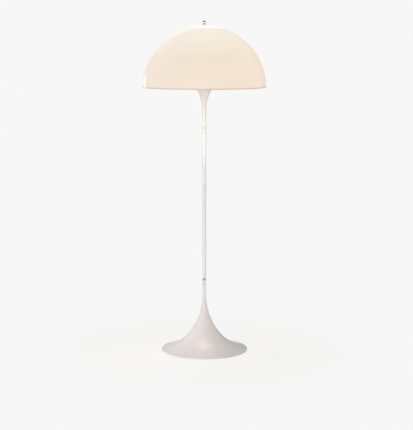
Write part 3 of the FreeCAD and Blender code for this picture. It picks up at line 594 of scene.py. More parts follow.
def dress(tree, surface, noise, tone, rough, relief):
    """Links a tone, a roughness range and a relief of a real height in millimetres."""
    tree.links.new(tone, surface["Base Color"])
    spread = add(tree, "ShaderNodeMapRange", {"Value": noise, "To Min": rough[0], "To Max": rough[1]})
    tree.links.new(spread.outputs[0], surface["Roughness"])
    bump = add(tree, "ShaderNodeBump", {"Height": noise, "Strength": 1.0, "Distance": relief * MM})
    tree.links.new(bump.outputs[0], surface["Normal"])


def white_lacquer():
    # Gloss lacquer sprayed on spun steel: a wet white skin with faint orange peel, scuffed at the floor
    material, tree, surface, place = new_finish("gloss_lacquer", {
        "IOR": 1.5, "Coat Weight": 0.5, "Coat Roughness": 0.03})
    size, tones = sizes(), colours()
    _, clean = mottled(tree, place, tones.lacquer, tones.lacquer_drift, grain=90)
    level = add(tree, "ShaderNodeSeparateXYZ", {0: place}).outputs["Z"]
    near_floor = add(tree, "ShaderNodeMapRange", {
        "Value": level, "From Min": size.scuff_top, "From Max": size.scuff_full}).outputs[0]
    marks = add(tree, "ShaderNodeTexNoise", {
        "Vector": place, "Scale": per(millimetres=5), "Detail": 5.0}).outputs[0]
    few, most = SCUFFED
    patches = add(tree, "ShaderNodeMapRange", {
        "Value": marks, "From Min": few, "From Max": most, "To Max": near_floor}).outputs[0]
    tone = add(tree, "ShaderNodeMix", {
        MIX_FACTOR: patches, MIX_A: clean, MIX_B: tones.scuff}, data_type="RGBA").outputs[MIX_RESULT]
    peel = add(tree, "ShaderNodeTexNoise", {
        "Vector": place, "Scale": per(millimetres=4), "Detail": 1.0}).outputs[0]
    dress(tree, surface, peel, tone, rough=(0.26, 0.34), relief=0.006)
    return material


def opal_acrylic():
    # Blown opal acrylic, milky and glossy; the bulb's light through it is painted on as a glow
    # (emission), whiter to the top and darker at its cut edge
    material, tree, surface, place = new_finish("blown_opal_acrylic", {
        "IOR": 1.49, "Specular IOR Level": 0.2, "Emission Strength": studio().dome})
    tones = colours()
    edge = sizes().shade_edge
    _, rim, top = reach("shade")
    middle = (rim + top) / 2
    level = add(tree, "ShaderNodeSeparateXYZ", {0: place}).outputs["Z"]
    # Painted glow: emission tones by height, darker at the cut edge and whiter to the top
    tone = tones.dome_edge
    for low, high, next_tone in (
            (rim + edge, rim + 2 * edge, tones.dome_rim), (rim, middle, tones.dome_middle),
            (middle, top, tones.dome_top)):
        share = add(tree, "ShaderNodeMapRange", {"Value": level, "From Min": low, "From Max": high})
        tone = add(tree, "ShaderNodeMix", {
            MIX_FACTOR: share.outputs[0], MIX_A: tone, MIX_B: next_tone},
            data_type="RGBA").outputs[MIX_RESULT]
    cloud, unlit = mottled(tree, place, tones.unlit, tones.unlit_drift, grain=70)
    dress(tree, surface, cloud, unlit, rough=(0.09, 0.13), relief=0.02)
    tree.links.new(tone, surface["Emission Color"])
    return material


def chrome():
    # Polished chrome plate: mirror bright, with the fine rings of turning left in it
    material, tree, surface, place = new_finish("polished_chrome", METAL)
    rings = add(
        tree, "ShaderNodeTexWave", {"Vector": place, "Scale": bands(millimetres=0.8), "Distortion": 0.4},
        wave_type="BANDS", bands_direction="Z").outputs["Fac"]
    _, tone = mottled(tree, place, colours().chrome, colours().chrome_drift, grain=12)
    dress(tree, surface, rings, tone, rough=(0.07, 0.12), relief=0.0015)
    return material


def grooved_chrome():
    # Chrome plate on a turned collar: bright bands, with painted shade in the grooves and darker painted
    # shade in the tall throat under the stem
    material, tree, surface, place = new_finish("turned_chrome", METAL)
    size, tones = sizes(), colours()
    groove = reach("stem_joint_ring")[0]
    flat = add(tree, "ShaderNodeMapping", {"Vector": place, "Scale": (1, 1, 0)}).outputs[0]
    radius = add(tree, "ShaderNodeVectorMath", {0: flat}, operation="LENGTH").outputs["Value"]
    bright = add(tree, "ShaderNodeMapRange", {
        "Value": radius, "From Min": groove + size.groove_dull,
        "From Max": groove + size.groove_bright}).outputs[0]
    level = add(tree, "ShaderNodeSeparateXYZ", {0: place}).outputs["Z"]
    throat = reach("neck_collar")[2] - size.throat
    throat_shade_share = add(tree, "ShaderNodeMapRange", {
        "Value": level, "From Min": throat, "From Max": throat + size.throat_fade}).outputs[0]
    # Painted shade: darker tone on the grooves' floors, darker still in the throat
    dull = add(tree, "ShaderNodeMix", {
        MIX_FACTOR: throat_shade_share, MIX_A: tones.groove, MIX_B: tones.throat},
        data_type="RGBA").outputs[MIX_RESULT]
    tone = add(tree, "ShaderNodeMix", {
        MIX_FACTOR: bright, MIX_A: dull, MIX_B: tones.chrome},
        data_type="RGBA").outputs[MIX_RESULT]
    rings = add(
        tree, "ShaderNodeTexWave", {"Vector": place, "Scale": bands(millimetres=0.5), "Distortion": 0.4},
        wave_type="BANDS", bands_direction="Z").outputs["Fac"]
    dress(tree, surface, rings, tone, rough=(0.12, 0.2), relief=0.0015)
    return material


def bulb_opal():
    # Opal coating inside the bulb's glass, switched on: warm white and even
    tones = colours()
    material, tree, surface, place = new_finish("opal_glass", {
        "IOR": 1.5, "Emission Color": tones.glow, "Emission Strength": studio().bulb})
    cloud, tone = mottled(tree, place, tones.bulb, tones.bulb_drift, grain=15)
    dress(tree, surface, cloud, tone, rough=(0.12, 0.18), relief=0.01)
    return material


# Name, shader inputs, grain in mm, two tones, roughness range and relief in mm of the plainer finishes
PLAIN_FINISHES = {
    # Bright zinc plate on turned and pressed steel: grey, cloudy, half dull
    "zinc_steel": ("zinc_plate", METAL, 6, "C4C6C6", "A9ACAE", (0.28, 0.42), 0.01),
    # Chrome plate toned grey as painted shade for the recessed joint ring between stem and reflector;
    # half bright
    "dull_chrome": ("dull_chrome_plate", METAL, 6, "DEDEDD", "D4D4D3", (0.12, 0.2), 0.0015),
    # Sand-cast iron with a dip of black paint: dark, grainy and dull
    "cast_iron": ("sand_cast_iron", {"IOR": 1.5}, 3, "3B3B3B", "2A2A2B", (0.6, 0.8), 0.25),
    # Pressed wool felt: matted grey fibres, drawn three times coarser than real to show
    "felt": (
        "pressed_felt", {"IOR": 1.45, "Sheen Weight": 0.4}, 1.5, "77746F", "4B4946", (0.88, 0.98), 0.5),
    # Moulded rubber: soft black with a fine spark-eroded grain
    "black_rubber": ("moulded_rubber", {"IOR": 1.52}, 0.8, "2B2B2B", "1D1D1E", (0.5, 0.65), 0.03),
    # Cast silicone: waxy, milky and a little see-through
    "clear_silicone": (
        "cast_silicone", {"IOR": 1.41, "Transmission Weight": 0.35}, 5, "E6E6E2", "DADAD4",
        (0.35, 0.5), 0.02),
    # Injection-moulded nylon: off-white with a dull bloom
    "nylon": ("moulded_nylon", {"IOR": 1.53}, 3, "EBE8DF", "E0DCD2", (0.4, 0.55), 0.02),
    # Extruded cable sheath: smooth white, faintly uneven
    "flex_sheath": ("extruded_sheath", {"IOR": 1.53}, 8, "EDEBE6", "E3E0DA", (0.35, 0.45), 0.02),
    # Compression-moulded white thermoset: hard, even, softly glossy
    "holder_plastic": ("moulded_thermoset", {"IOR": 1.55}, 7, "ECE9E2", "E4E0D8", (0.26, 0.36), 0.015),
    # Unglazed steatite: chalky white with fine specks
    "porcelain": ("steatite", {"IOR": 1.52}, 1.2, "F0EDE4", "E3DED2", (0.5, 0.65), 0.03),
    # Drawn brass: warm yellow metal with dull streaks
    "brass": ("drawn_brass", METAL, 4, "DDBD7A", "C59F58", (0.2, 0.34), 0.01),
    # Rolled aluminium screw cap: pale, satin, lightly streaked
    "bulb_metal": ("rolled_aluminium", METAL, 3, "DADBDB", "C8C9CA", (0.2, 0.32), 0.01),
    # Black glass between the cap and the contact: smooth and shiny
    "bulb_insulator": ("black_glass", {"IOR": 1.52}, 4, "1C1A19", "121110", (0.1, 0.2), 0.01),
}
OWN_FINISHES = {maker.__name__: maker for maker in (
    white_lacquer, opal_acrylic, chrome, grooved_chrome, bulb_opal)}
ready_finishes = {}


def plain_finish(slot):
    name, inputs, grain, first, second, rough, relief = PLAIN_FINISHES[slot]
    material, tree, surface, place = new_finish(name, inputs)
    noise, tone = mottled(tree, place, linear(first), linear(second), grain)
    dress(tree, surface, noise, tone, rough, relief)
    return material


def finish(slot):
    """The material of a slot, made once."""
    if slot not in ready_finishes:
        ready_finishes[slot] = OWN_FINISHES[slot]() if slot in OWN_FINISHES else plain_finish(slot)
    return ready_finishes[slot]


# Operators

class LAMP_OT_inner_fittings(bpy.types.Operator):
    """Gives the solids that stay as they are their finishes."""

    bl_idname = "lamp.inner_fittings"
    bl_label = "Inner fittings"

    def execute(self, context):
        for part in frame["record"]["subparts"]:
            solid = frame["nodes"][part["node"]]
            solid.data.materials.clear()
            solid.data.materials.append(finish(part["material_slot"]))
        return {"FINISHED"}


class LAMP_OT_foot(bpy.types.Operator):
    """Makes the spun foot with its cord notch, and the felt ring under it."""

    bl_idname = "lamp.foot"
    bl_label = "Foot"

    def execute(self, context):
        size = sizes()
        radius, lip_bottom, top = reach("base_shell")
        stem = reach("stem_tube")[0]
        plate_top = reach("base_plate")[2]
        sheet = size.foot_sheet
        slope, turn = size.brim_slope, size.flare_turn
        brim_edge = radius - size.lip * (1 - math.sin(slope))
        brim_level = plate_top + size.seat + sheet * math.cos(slope)
        lip_centre = brim_level - size.lip * math.cos(slope)
        flare_top = top - size.neck
        upper, lower = self.flare_arcs(
            turn, math.pi / 2 - slope, brim_edge - stem, flare_top - brim_level)
        axis = stem + upper

        def meeting(arc):
            return axis - arc * math.cos(turn), flare_top - arc * math.sin(turn)

        shell = turned("base_shell", outline([
            (stem, top),
            (stem, flare_top, upper, COUNTERCLOCKWISE),
            (*meeting(upper), lower, COUNTERCLOCKWISE),
            (brim_edge, brim_level, size.lip, CLOCKWISE),
            (radius, lip_centre),
            (radius, lip_bottom),
            (radius - sheet, lip_bottom),
            (radius - sheet, lip_centre, size.lip - sheet, COUNTERCLOCKWISE),
            (brim_edge - sheet * math.sin(slope), brim_level - sheet * math.cos(slope),
             lower + sheet, CLOCKWISE),
            (*meeting(upper + sheet), upper + sheet, CLOCKWISE),
            (stem - sheet, flare_top),
            (stem - sheet, top)]), "white_lacquer", segments=size.foot_segments)
        self.cut_notch(shell, radius)
        outer, low, high = reach("base_pad")
        turned("base_pad", tube(outer - size.pad_width, outer, low, high, size.moulded_edge), "felt")
        return {"FINISHED"}

    def flare_arcs(self, turn, last, across, drop):
        """Radii of the two arcs that carry the upright neck out to the brim."""
        upper_across, upper_drop = 1 - math.cos(turn), math.sin(turn)
        lower_across = math.cos(turn) - math.cos(last)
        lower_drop = math.sin(last) - math.sin(turn)
        share = lower_across * upper_drop - upper_across * lower_drop
        upper = (lower_across * drop - lower_drop * across) / share
        lower = (upper_drop * across - upper_across * drop) / share
        return upper, lower

    def cut_notch(self, shell, radius):
        """Cuts the round-topped notch for the cord grommet out of the lip."""
        size = sizes()
        half, level = size.notch, size.notch_level
        arch = [(-half, -half), (half, -half)]
        for step in range(NOTCH_STEPS + 1):
            at = math.pi * step / NOTCH_STEPS
            arch.append((half * math.cos(at), level + half * math.sin(at)))
        mesh = bpy.data.meshes.new("notch_cutter")
        shape = bmesh.new()
        start = radius - NOTCH_START * half
        face = shape.faces.new([shape.verts.new((x, start, z)) for x, z in arch])
        far = bmesh.ops.extrude_face_region(shape, geom=[face])["geom"]
        ends = [item for item in far if isinstance(item, bmesh.types.BMVert)]
        bmesh.ops.translate(shape, verts=ends, vec=(0, NOTCH_LENGTH * half, 0))
        bmesh.ops.recalc_face_normals(shape, faces=shape.faces)
        shape.to_mesh(mesh)
        shape.free()
        cutter = bpy.data.objects.new("notch_cutter", mesh)
        bpy.context.scene.collection.objects.link(cutter)
        notch = shell.modifiers.new("notch", "BOOLEAN")
        notch.object = cutter
        notch.operation = "DIFFERENCE"
        notch.solver = "EXACT"
        settle(shell, baked_mesh(shell))
        bpy.data.objects.remove(cutter)
        bpy.data.meshes.remove(mesh)


class LAMP_OT_stem(bpy.types.Operator):
    """Makes the grooved collar, the stem tube and the joint ring."""

    bl_idname = "lamp.stem"
    bl_label = "Stem"

    def execute(self, context):
        size = sizes()
        radius, low, high = reach("stem_tube")
        turned("stem_tube", tube(radius - size.stem_wall, radius, low, high), "white_lacquer")
        outer, spigot_bottom, collar_top = reach("neck_collar")
        groove = reach("stem_joint_ring")[0]
        foot_top = spigot_bottom + size.spigot
        spigot = radius - size.foot_sheet - size.fit
        corners = [(size.thread, spigot_bottom), (spigot, spigot_bottom), (spigot, foot_top)]
        level = foot_top
        while level < collar_top - size.throat - size.band:
            corners += [
                (groove, level), (groove, level + size.band),
                (outer, level + size.band), (outer, level + 2 * size.band)]
            level += 2 * size.band
        corners += [(groove, level), (groove, collar_top), (size.thread, collar_top)]
        turned("neck_collar", outline(corners), "chrome", look="grooved_chrome")
        _, ring_bottom, ring_top = reach("stem_joint_ring")
        joint = reach("reflector")[1]
        spigot = radius - size.reflector_sheet - size.fit
        # The recessed joint ring gets chrome toned grey: painted shade in the recess
        turned("stem_joint_ring", outline([
            (size.thread, ring_bottom), (groove, ring_bottom), (groove, joint),
            (spigot, joint), (spigot, ring_top), (size.thread, ring_top)]),
            "chrome", look="dull_chrome")
        return {"FINISHED"}


class LAMP_OT_reflector(bpy.types.Operator):
    """Makes the spun trumpet with its rolled bead, and the threaded pipe in it."""

    bl_idname = "lamp.reflector"
    bl_label = "Reflector"

    def execute(self, context):
        size = sizes()
        radius, low, _ = reach("reflector")
        stem = reach("stem_tube")[0]
        sheet, flare, bead = size.reflector_sheet, size.flare, size.bead
        flare_bottom = reach("shade")[1] - size.flare_drop
        mouth = radius - bead
        axis = stem + flare
        inset = axis - mouth
        rise = leg(flare, inset)
        back = flare + sheet
        turned("reflector", outline([
            (stem, low),
            (stem, flare_bottom, flare, CLOCKWISE),
            (mouth, flare_bottom + rise, bead, COUNTERCLOCKWISE),
            (radius, flare_bottom + rise + bead, bead, COUNTERCLOCKWISE),
            (axis - back * inset / flare, flare_bottom + back * rise / flare, back, COUNTERCLOCKWISE),
            (stem - sheet, flare_bottom),
            (stem - sheet, low)]), "white_lacquer")
        outer, low, high = reach("upper_pipe")
        nut_top = reach("reflector_nut")[2]
        turned("upper_pipe", outline([
            (size.pipe_bore, low), (outer, low), (outer, nut_top), (outer, high),
            (size.pipe_bore, high)]),
            "zinc_steel", segments=size.pipe_segments, **fine_thread(outer, nut_top, high))
        return {"FINISHED"}


def fine_thread(radius, low, high):
    """The fine thread that the pipe and the shade's stud share."""
    size = sizes()
    return {
        "cut_radius": radius - size.fine_depth, "thread_depth": size.fine_depth,
        "thread_pitch": size.fine_pitch, "thread_bottom": low, "thread_top": high,
        "thread_fade": size.fine_pitch}


def bulb_thread(low, high, fade):
    """The rolled screw thread that the bulb's cap and the lampholder's shell share."""
    size = sizes()
    return {
        "cut_radius": size.bulb_root, "thread_depth": size.bulb_depth, "thread_pitch": size.bulb_pitch,
        "thread_bottom": low, "thread_top": high, "thread_fade": fade}


class LAMP_OT_lampholder(bpy.types.Operator):
    """Makes the lampholder's cap, threaded skirt, screw shell and clamping ring."""

    bl_idname = "lamp.lampholder"
    bl_label = "Lampholder"

    def execute(self, context):
        size = sizes()
        wall, boss = size.holder_wall, size.boss
        radius, low, high = reach("holder_cap")
        floor, shoulder = low + size.cap_floor, low + size.shoulder
        turned("holder_cap", outline([
            (size.thread, low), (boss, low), (boss, low + size.boss_height), (radius, shoulder),
            (radius, high), (radius - wall, high), (radius - wall, shoulder), (boss, floor),
            (size.thread, floor)], edge=size.moulded_edge), "holder_plastic")
        flange, low, high = reach("holder_skirt")
        flange_top = reach("shade_carrier")[1]
        flange_bottom = flange_top - wall
        thread = radius - size.skirt_depth
        turned("holder_skirt", outline([
            (radius - wall, low), (radius, low), (radius, flange_bottom), (flange, flange_bottom),
            (flange, flange_top), (thread, flange_top), (thread, high), (radius - wall, high)]),
            "holder_plastic", cut_radius=thread - size.skirt_depth, thread_depth=size.skirt_depth,
            thread_pitch=size.skirt_pitch, thread_bottom=flange_top, thread_top=high,
            thread_fade=size.skirt_pitch / 2)
        outer, low, high = reach("holder_screw_shell")
        turned(
            "holder_screw_shell", tube(outer - size.shell_wall, outer, low, high, size.sheet_edge),
            "brass", **bulb_thread(low, high, fade=size.bulb_pitch / 4))
        outer, low, high = reach("shade_ring")
        turned(
            "shade_ring", tube(thread + size.fit, outer, low, high), "holder_plastic",
            segments=size.ring_segments, cut_radius=outer - size.grip, grip_count=size.grips,
            grip_depth=size.grip)
        return {"FINISHED"}


class LAMP_OT_bulb(bpy.types.Operator):
    """Makes the lit bulb: opal globe, rolled screw cap, black glass and contact."""

    bl_idname = "lamp.bulb"
    bl_label = "Bulb"

    def execute(self, context):
        size = sizes()
        radius, spigot_bottom, top = reach("bulb_glass")
        cap_radius, cap_bottom, cap_top = reach("bulb_cap")
        wall, cap_wall, bevel = size.bulb_wall, size.cap_wall, size.cap_bevel
        neck, curve = size.bulb_neck, size.bulb_curve
        centre = top - radius
        across = neck + curve
        drop = leg(radius + curve, across)
        spigot = cap_radius - cap_wall - size.fit

        def meeting(globe):
            return across * globe / (radius + curve), centre - drop * globe / (radius + curve)

        turned("bulb_glass", outline([
            (spigot - wall, spigot_bottom), (spigot, spigot_bottom), (spigot, cap_top),
            (neck, cap_top, curve, CLOCKWISE),
            (*meeting(radius), radius, COUNTERCLOCKWISE),
            (radius, centre, radius, COUNTERCLOCKWISE),
            (0, top),
            (0, top - wall, radius - wall, CLOCKWISE),
            (radius - wall, centre, radius - wall, CLOCKWISE),
            (*meeting(radius - wall), curve + wall, COUNTERCLOCKWISE),
            (across - leg(curve + wall, wall), cap_top + wall),
            (spigot - wall, cap_top + wall)]), "bulb_opal", body="bulb")
        turned("bulb_cap", outline([
            (0, cap_bottom), (cap_radius - bevel, cap_bottom), (cap_radius, cap_bottom + bevel),
            (cap_radius, cap_top), (cap_radius - cap_wall, cap_top),
            (cap_radius - cap_wall, cap_bottom + bevel), (cap_radius - bevel, cap_bottom + cap_wall),
            (0, cap_bottom + cap_wall)], closed=False, edge=size.sheet_edge),
            "bulb_metal", body="bulb", **bulb_thread(cap_bottom, spigot_bottom, fade=bevel))
        contact, low, middle = reach("bulb_contact")
        turned("bulb_contact", outline([
            (0, low), (contact / 2, low), (contact, middle), (0, middle)], closed=False), "brass",
            body="bulb_tip")
        insulator, low, high = reach("bulb_insulator")
        turned("bulb_insulator", outline([
            (0, low), (contact + cap_wall, low), (insulator, high), (0, high)], closed=False),
            "bulb_insulator", body="bulb")
        return {"FINISHED"}


class LAMP_OT_carrier(bpy.types.Operator):
    """Makes the shade carrier: its ring, bent wire arms and disc, with the stud and gasket on top."""

    bl_idname = "lamp.carrier"
    bl_label = "Shade carrier"

    def execute(self, context):
        size = sizes()
        wire, lap, arm, bend = size.wire, size.lap, size.arm, size.bend
        disc, stud = size.disc, size.stud
        ring_bottom = reach("shade_carrier")[1]
        ring_top = reach("shade_ring")[1]
        disc_top = reach("carrier_gasket")[1]
        head, head_bottom, stud_top = reach("carrier_stud")
        disc_bottom = head_bottom + size.stud_head
        rim = size.ring_bore + size.ring_width
        turned(
            "shade_carrier", tube(size.ring_bore, rim, ring_bottom, ring_top), "white_lacquer",
            name="carrier_ring")
        turned(
            "shade_carrier", tube(stud + size.fit, disc, disc_bottom, disc_top), "white_lacquer",
            name="carrier_disc")
        low = ring_top + wire - size.weld
        high = disc_bottom - wire + size.weld
        crown = arm - disc + lap
        route = outline([
            (rim - lap, low),
            (arm - bend, low, bend, COUNTERCLOCKWISE),
            (arm, low + bend),
            (arm, high - crown, crown, COUNTERCLOCKWISE),
            (disc - lap, high)], closed=False)
        arms = grown("carrier_arms", route, "bent_wire_arms", {
            "Wire Radius": wire, "Count": size.arms, "Material": finish("white_lacquer")})
        enrol(arms, "stand", "white_lacquer", "shade_carrier")
        thread_bottom = disc_top + size.stud_plain
        turned("carrier_stud", outline([
            (0, head_bottom), (head, head_bottom), (head, disc_bottom), (stud, disc_bottom),
            (stud, stud_top), (0, stud_top)], closed=False),
            "zinc_steel", segments=size.stud_segments,
            **fine_thread(stud, thread_bottom, stud_top))
        outer, low, high = reach("carrier_gasket")
        turned(
            "carrier_gasket", tube(stud + size.seat, outer, low, high, size.moulded_edge),
            "clear_silicone")
        return {"FINISHED"}


class LAMP_OT_shade(bpy.types.Operator):
    """Makes the opal dome with its rounded rim."""

    bl_idname = "lamp.shade"
    bl_label = "Shade"

    def execute(self, context):
        size = sizes()
        rim = reach("shade")[1]
        wall, hole = size.shade_wall, size.shade_hole
        globe, centre = dome()
        bore = globe - wall
        edge = rim + wall / 2
        turned("shade", outline([
            (leg(globe, edge - centre), edge, globe, COUNTERCLOCKWISE),
            (hole, centre + leg(globe, hole)),
            (hole, centre + leg(bore, hole), bore, CLOCKWISE),
            (leg(bore, edge - centre), edge, wall, COUNTERCLOCKWISE),
            (leg(globe - wall / 2, rim - centre), rim, wall, COUNTERCLOCKWISE)]),
            "opal_acrylic", body="shade", segments=size.shade_segments)
        return {"FINISHED"}


class LAMP_OT_finial(bpy.types.Operator):
    """Makes the dished cap and the ball finial."""

    bl_idname = "lamp.finial"
    bl_label = "Finial"

    def execute(self, context):
        size = sizes()
        globe, centre = dome()
        outer = reach("finial_cap")[0]
        low = globe + size.seat
        high = low + size.cap_sheet
        bore = size.cap_bore
        turned("finial_cap", outline([
            (bore, centre + leg(low, bore), low, CLOCKWISE),
            (outer, centre + leg(low, outer)),
            (outer, centre + leg(high, outer), high, COUNTERCLOCKWISE),
            (bore, centre + leg(high, bore))]), "chrome", body="finial_cap")
        ball, low, top = reach("finial")
        neck, foot, bore = size.finial_neck, size.finial_foot, size.finial_bore
        foot_top, bore_top = low + size.finial_step, low + size.finial_depth
        middle = top - ball
        turned("finial", outline([
            (0, bore_top), (bore, bore_top), (bore, low), (foot, low), (foot, foot_top),
            (neck, foot_top),
            (neck, middle - leg(ball, neck), ball, COUNTERCLOCKWISE),
            (ball, middle, ball, COUNTERCLOCKWISE),
            (0, top)], closed=False), "chrome", body="finial")
        return {"FINISHED"}


# Soft boxes: power setting, place, aim, width and height, spread in degrees, colour and unseen by
LIGHTS = (
    ("key", (-1.4, -1.8, 1.1), (-0.08, 0, -0.11), (0.5, 0.5), 14, "FCE8E8", "visible_glossy"),
    ("fill", (2.8, -1.2, 1.4), (0, 0, 0.75), (1.6, 1.6), 180, "FFE3BC", "visible_glossy"),
    ("strip", (-1.6, 1.9, 1.12), (0, 0, 1.12), (0.5, 0.45), 180, "FFFFFF", "visible_diffuse"),
    ("back", (0.05, 2.5, 2.25), (0, 0, 1.12), (0.5, 1.1), 180, "FFFFFF", "visible_diffuse"),
    ("spot", (-0.5, -2.2, 0.35), (0, 0, 0.94), (0.15, 0.15), 12, "FFFAE9", "visible_glossy"),
    ("stem", (-0.5, -2.2, 0.58), (0, 0, 0.58), (0.1, 0.76), 8, "E2F4FF", "visible_glossy"),
    ("opening", (0, 0, 1.06), (0, 0, 0), (0.36, 0.36), 180, "FFEEDC", "visible_diffuse"),
)
# Where one part of the surroundings fades into the next, as shares of a direction along its axis
WARM_SIDE, WALL_JOIN, WALL, CEILING = (0.75, 0.97), (-0.1, 0.1), (0.4, 0.8), (0.5, 0.75)


class LAMP_OT_stage(bpy.types.Operator):
    """Sets up the paper floor, the soft lights and the camera."""

    bl_idname = "lamp.stage"
    bl_label = "Stage"

    def execute(self, context):
        scene = context.scene
        scene.view_settings.view_transform = "Standard"
        shot = studio()
        self.make_world(scene)
        self.make_floor()
        for light in LIGHTS:
            self.make_light(*light)
        camera = bpy.data.objects.new("camera", bpy.data.cameras.new("camera"))
        camera.data.sensor_fit = "VERTICAL"
        camera.data.sensor_height = SENSOR_HEIGHT
        camera.data.lens = shot.lens
        camera.data.clip_end = VIEW_RANGE
        camera.location = (shot.sideways, -shot.distance, shot.height)
        camera.rotation_euler = (math.pi / 2 - shot.tilt, 0, 0)
        scene.collection.objects.link(camera)
        scene.camera = camera
        return {"FINISHED"}

    def make_world(self, scene):
        """Soft light all around; paper for the eye, and for gloss, with a grey wall and ceiling."""
        world = bpy.data.worlds.new("studio")
        world.use_nodes = True
        tree = world.node_tree
        tree.nodes.clear()
        shot = studio()
        path = add(tree, "ShaderNodeLightPath").outputs
        plain = add(tree, "ShaderNodeMath", {
            0: path["Is Camera Ray"], 1: path["Is Transmission Ray"]}, operation="MAXIMUM").outputs[0]
        towards = add(tree, "ShaderNodeTexCoord").outputs["Generated"]
        axes = add(tree, "ShaderNodeSeparateXYZ", {0: towards}).outputs
        wall, paper_and_wall, mirrored, soft_tone = (
            add(tree, "ShaderNodeMix", data_type="RGBA") for _ in range(4))
        for mix, axis, (start, full), before, after in (
                (soft_tone, "X", WARM_SIDE, linear("FFFFFF"), shot.warm_side),
                (wall, "X", WALL_JOIN, shot.wall_left, shot.wall_right),
                (paper_and_wall, "Y", WALL, shot.background, wall.outputs[MIX_RESULT]),
                (mirrored, "Z", CEILING, paper_and_wall.outputs[MIX_RESULT], shot.ceiling)):
            share = add(tree, "ShaderNodeMapRange", {
                "Value": axes[axis], "From Min": start, "From Max": full}, **SMOOTH)
            fill_in(tree, mix, {MIX_FACTOR: share.outputs[0], MIX_A: before, MIX_B: after})
        soft = add(tree, "ShaderNodeBackground", {
            "Color": soft_tone.outputs[MIX_RESULT], "Strength": shot.ambient})
        around = add(tree, "ShaderNodeBackground", {"Color": mirrored.outputs[MIX_RESULT]})
        paper = add(tree, "ShaderNodeBackground", {"Color": shot.background})
        lit = add(tree, "ShaderNodeMixShader", {
            0: path["Is Glossy Ray"], 1: soft.outputs[0], 2: around.outputs[0]})
        mixed = add(tree, "ShaderNodeMixShader", {0: plain, 1: lit.outputs[0], 2: paper.outputs[0]})
        add(tree, "ShaderNodeOutputWorld", {"Surface": mixed.outputs[0]})
        scene.world = world

    def make_floor(self):
        """A paper sweep that keeps the lamp's shadow near it, fades away, and is clear from below."""
        shot = studio()
        half = shot.floor
        mesh = bpy.data.meshes.new("floor")
        corners = [(-half, -half, 0), (half, -half, 0), (half, half, 0), (-half, half, 0)]
        mesh.from_pydata(corners, [], [(0, 1, 2, 3)])
        floor = bpy.data.objects.new("floor", mesh)
        bpy.context.scene.collection.objects.link(floor)
        material = bpy.data.materials.new("paper_sweep")
        material.use_nodes = True
        tree = material.node_tree
        tree.nodes.clear()
        place = add(tree, "ShaderNodeTexCoord").outputs["Object"]
        away = add(tree, "ShaderNodeVectorMath", {0: place}, operation="LENGTH").outputs["Value"]
        share = add(tree, "ShaderNodeMapRange", {
            "Value": away, "From Min": shot.shadow_full, "From Max": shot.shadow_end,
            "To Min": shot.shadow, "To Max": 0.0}, **SMOOTH).outputs[0]
        rest = add(tree, "ShaderNodeMath", {0: 1.0, 1: share}, operation="SUBTRACT").outputs[0]
        sheet = [channel / shot.open_floor for channel in shot.background[:3]]
        tone = add(tree, "ShaderNodeMix", {
            MIX_FACTOR: share, MIX_A: linear("000000"), MIX_B: (*sheet, 1.0)},
            data_type="RGBA").outputs[MIX_RESULT]
        shaded = add(tree, "ShaderNodeBsdfDiffuse", {"Color": tone}).outputs[0]
        bright = add(tree, "ShaderNodeEmission", {
            "Color": shot.background, "Strength": rest}).outputs[0]
        seen = add(tree, "ShaderNodeAddShader", {0: shaded, 1: bright}).outputs[0]
        bounce = add(tree, "ShaderNodeBsdfDiffuse", {"Color": shot.bounce}).outputs[0]
        path = add(tree, "ShaderNodeLightPath").outputs
        either = add(tree, "ShaderNodeMath", {
            0: path["Is Camera Ray"], 1: path["Is Glossy Ray"]}, operation="MAXIMUM").outputs[0]
        plain = add(tree, "ShaderNodeMath", {
            0: either, 1: path["Is Transmission Ray"]}, operation="MAXIMUM").outputs[0]
        mixed = add(tree, "ShaderNodeMixShader", {0: plain, 1: bounce, 2: seen}).outputs[0]
        underside = add(tree, "ShaderNodeNewGeometry").outputs["Backfacing"]
        clear = add(tree, "ShaderNodeBsdfTransparent").outputs[0]
        one_sided = add(tree, "ShaderNodeMixShader", {0: underside, 1: mixed, 2: clear})
        add(tree, "ShaderNodeOutputMaterial", {"Surface": one_sided.outputs[0]})
        mesh.materials.append(material)

    def make_light(self, name, place, aim, box, spread, hex_value, unseen_by):
        data = bpy.data.lights.new(name, "AREA")
        data.shape = "RECTANGLE"
        data.size, data.size_y = box
        data.spread = math.radians(spread)
        data.energy = getattr(studio(), name)
        data.color = linear(hex_value)[:3]
        light = bpy.data.objects.new(f"{name}_box", data)
        light.location = place
        light.rotation_euler = (Vector(aim) - Vector(place)).to_track_quat("-Z", "Y").to_euler()
        light.visible_camera = False
        setattr(light, unseen_by, False)
        bpy.context.scene.collection.objects.link(light)


STEPS = (
    LAMP_OT_inner_fittings, LAMP_OT_foot, LAMP_OT_stem, LAMP_OT_reflector, LAMP_OT_lampholder,
    LAMP_OT_bulb, LAMP_OT_carrier, LAMP_OT_shade, LAMP_OT_finial, LAMP_OT_stage)


class LAMP_PT_steps(bpy.types.Panel):
    """Lists the steps that dress the lamp, and what can be changed."""

    bl_idname = "LAMP_PT_steps"
    bl_label = "Mushroom floor lamp"
    bl_space_type = "VIEW_3D"
    bl_region_type = "UI"
    bl_category = "Lamp"

    def draw(self, context):
        for step in STEPS:
            self.layout.operator(step.bl_idname)
        for group in (context.scene.lamp_sizes, context.scene.lamp_colours, context.scene.lamp_studio):
            box = self.layout.box()
            for name in group.__annotations__:
                box.prop(group, name)


CLASSES = (LampSizes, LampColours, StudioSettings, *STEPS, LAMP_PT_steps)


def register():
    for item in CLASSES:
        bpy.utils.register_class(item)
    bpy.types.Scene.lamp_sizes = PointerProperty(type=LampSizes)
    bpy.types.Scene.lamp_colours = PointerProperty(type=LampColours)
    bpy.types.Scene.lamp_studio = PointerProperty(type=StudioSettings)


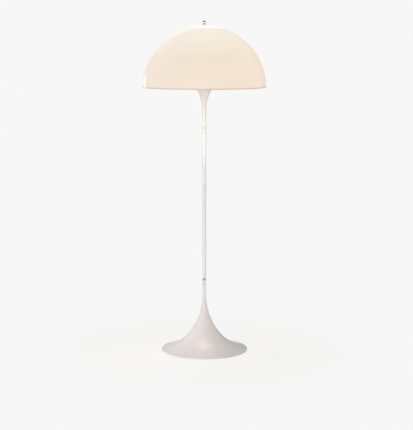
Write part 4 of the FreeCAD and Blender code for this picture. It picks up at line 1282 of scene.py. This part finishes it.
def unregister():
    del bpy.types.Scene.lamp_studio
    del bpy.types.Scene.lamp_colours
    del bpy.types.Scene.lamp_sizes
    for item in reversed(CLASSES):
        bpy.utils.unregister_class(item)


def main():
    register()
    for step in STEPS:
        group, name = step.bl_idname.split(".")
        getattr(getattr(bpy.ops, group), name)()


if __name__ == "__main__":
    main()
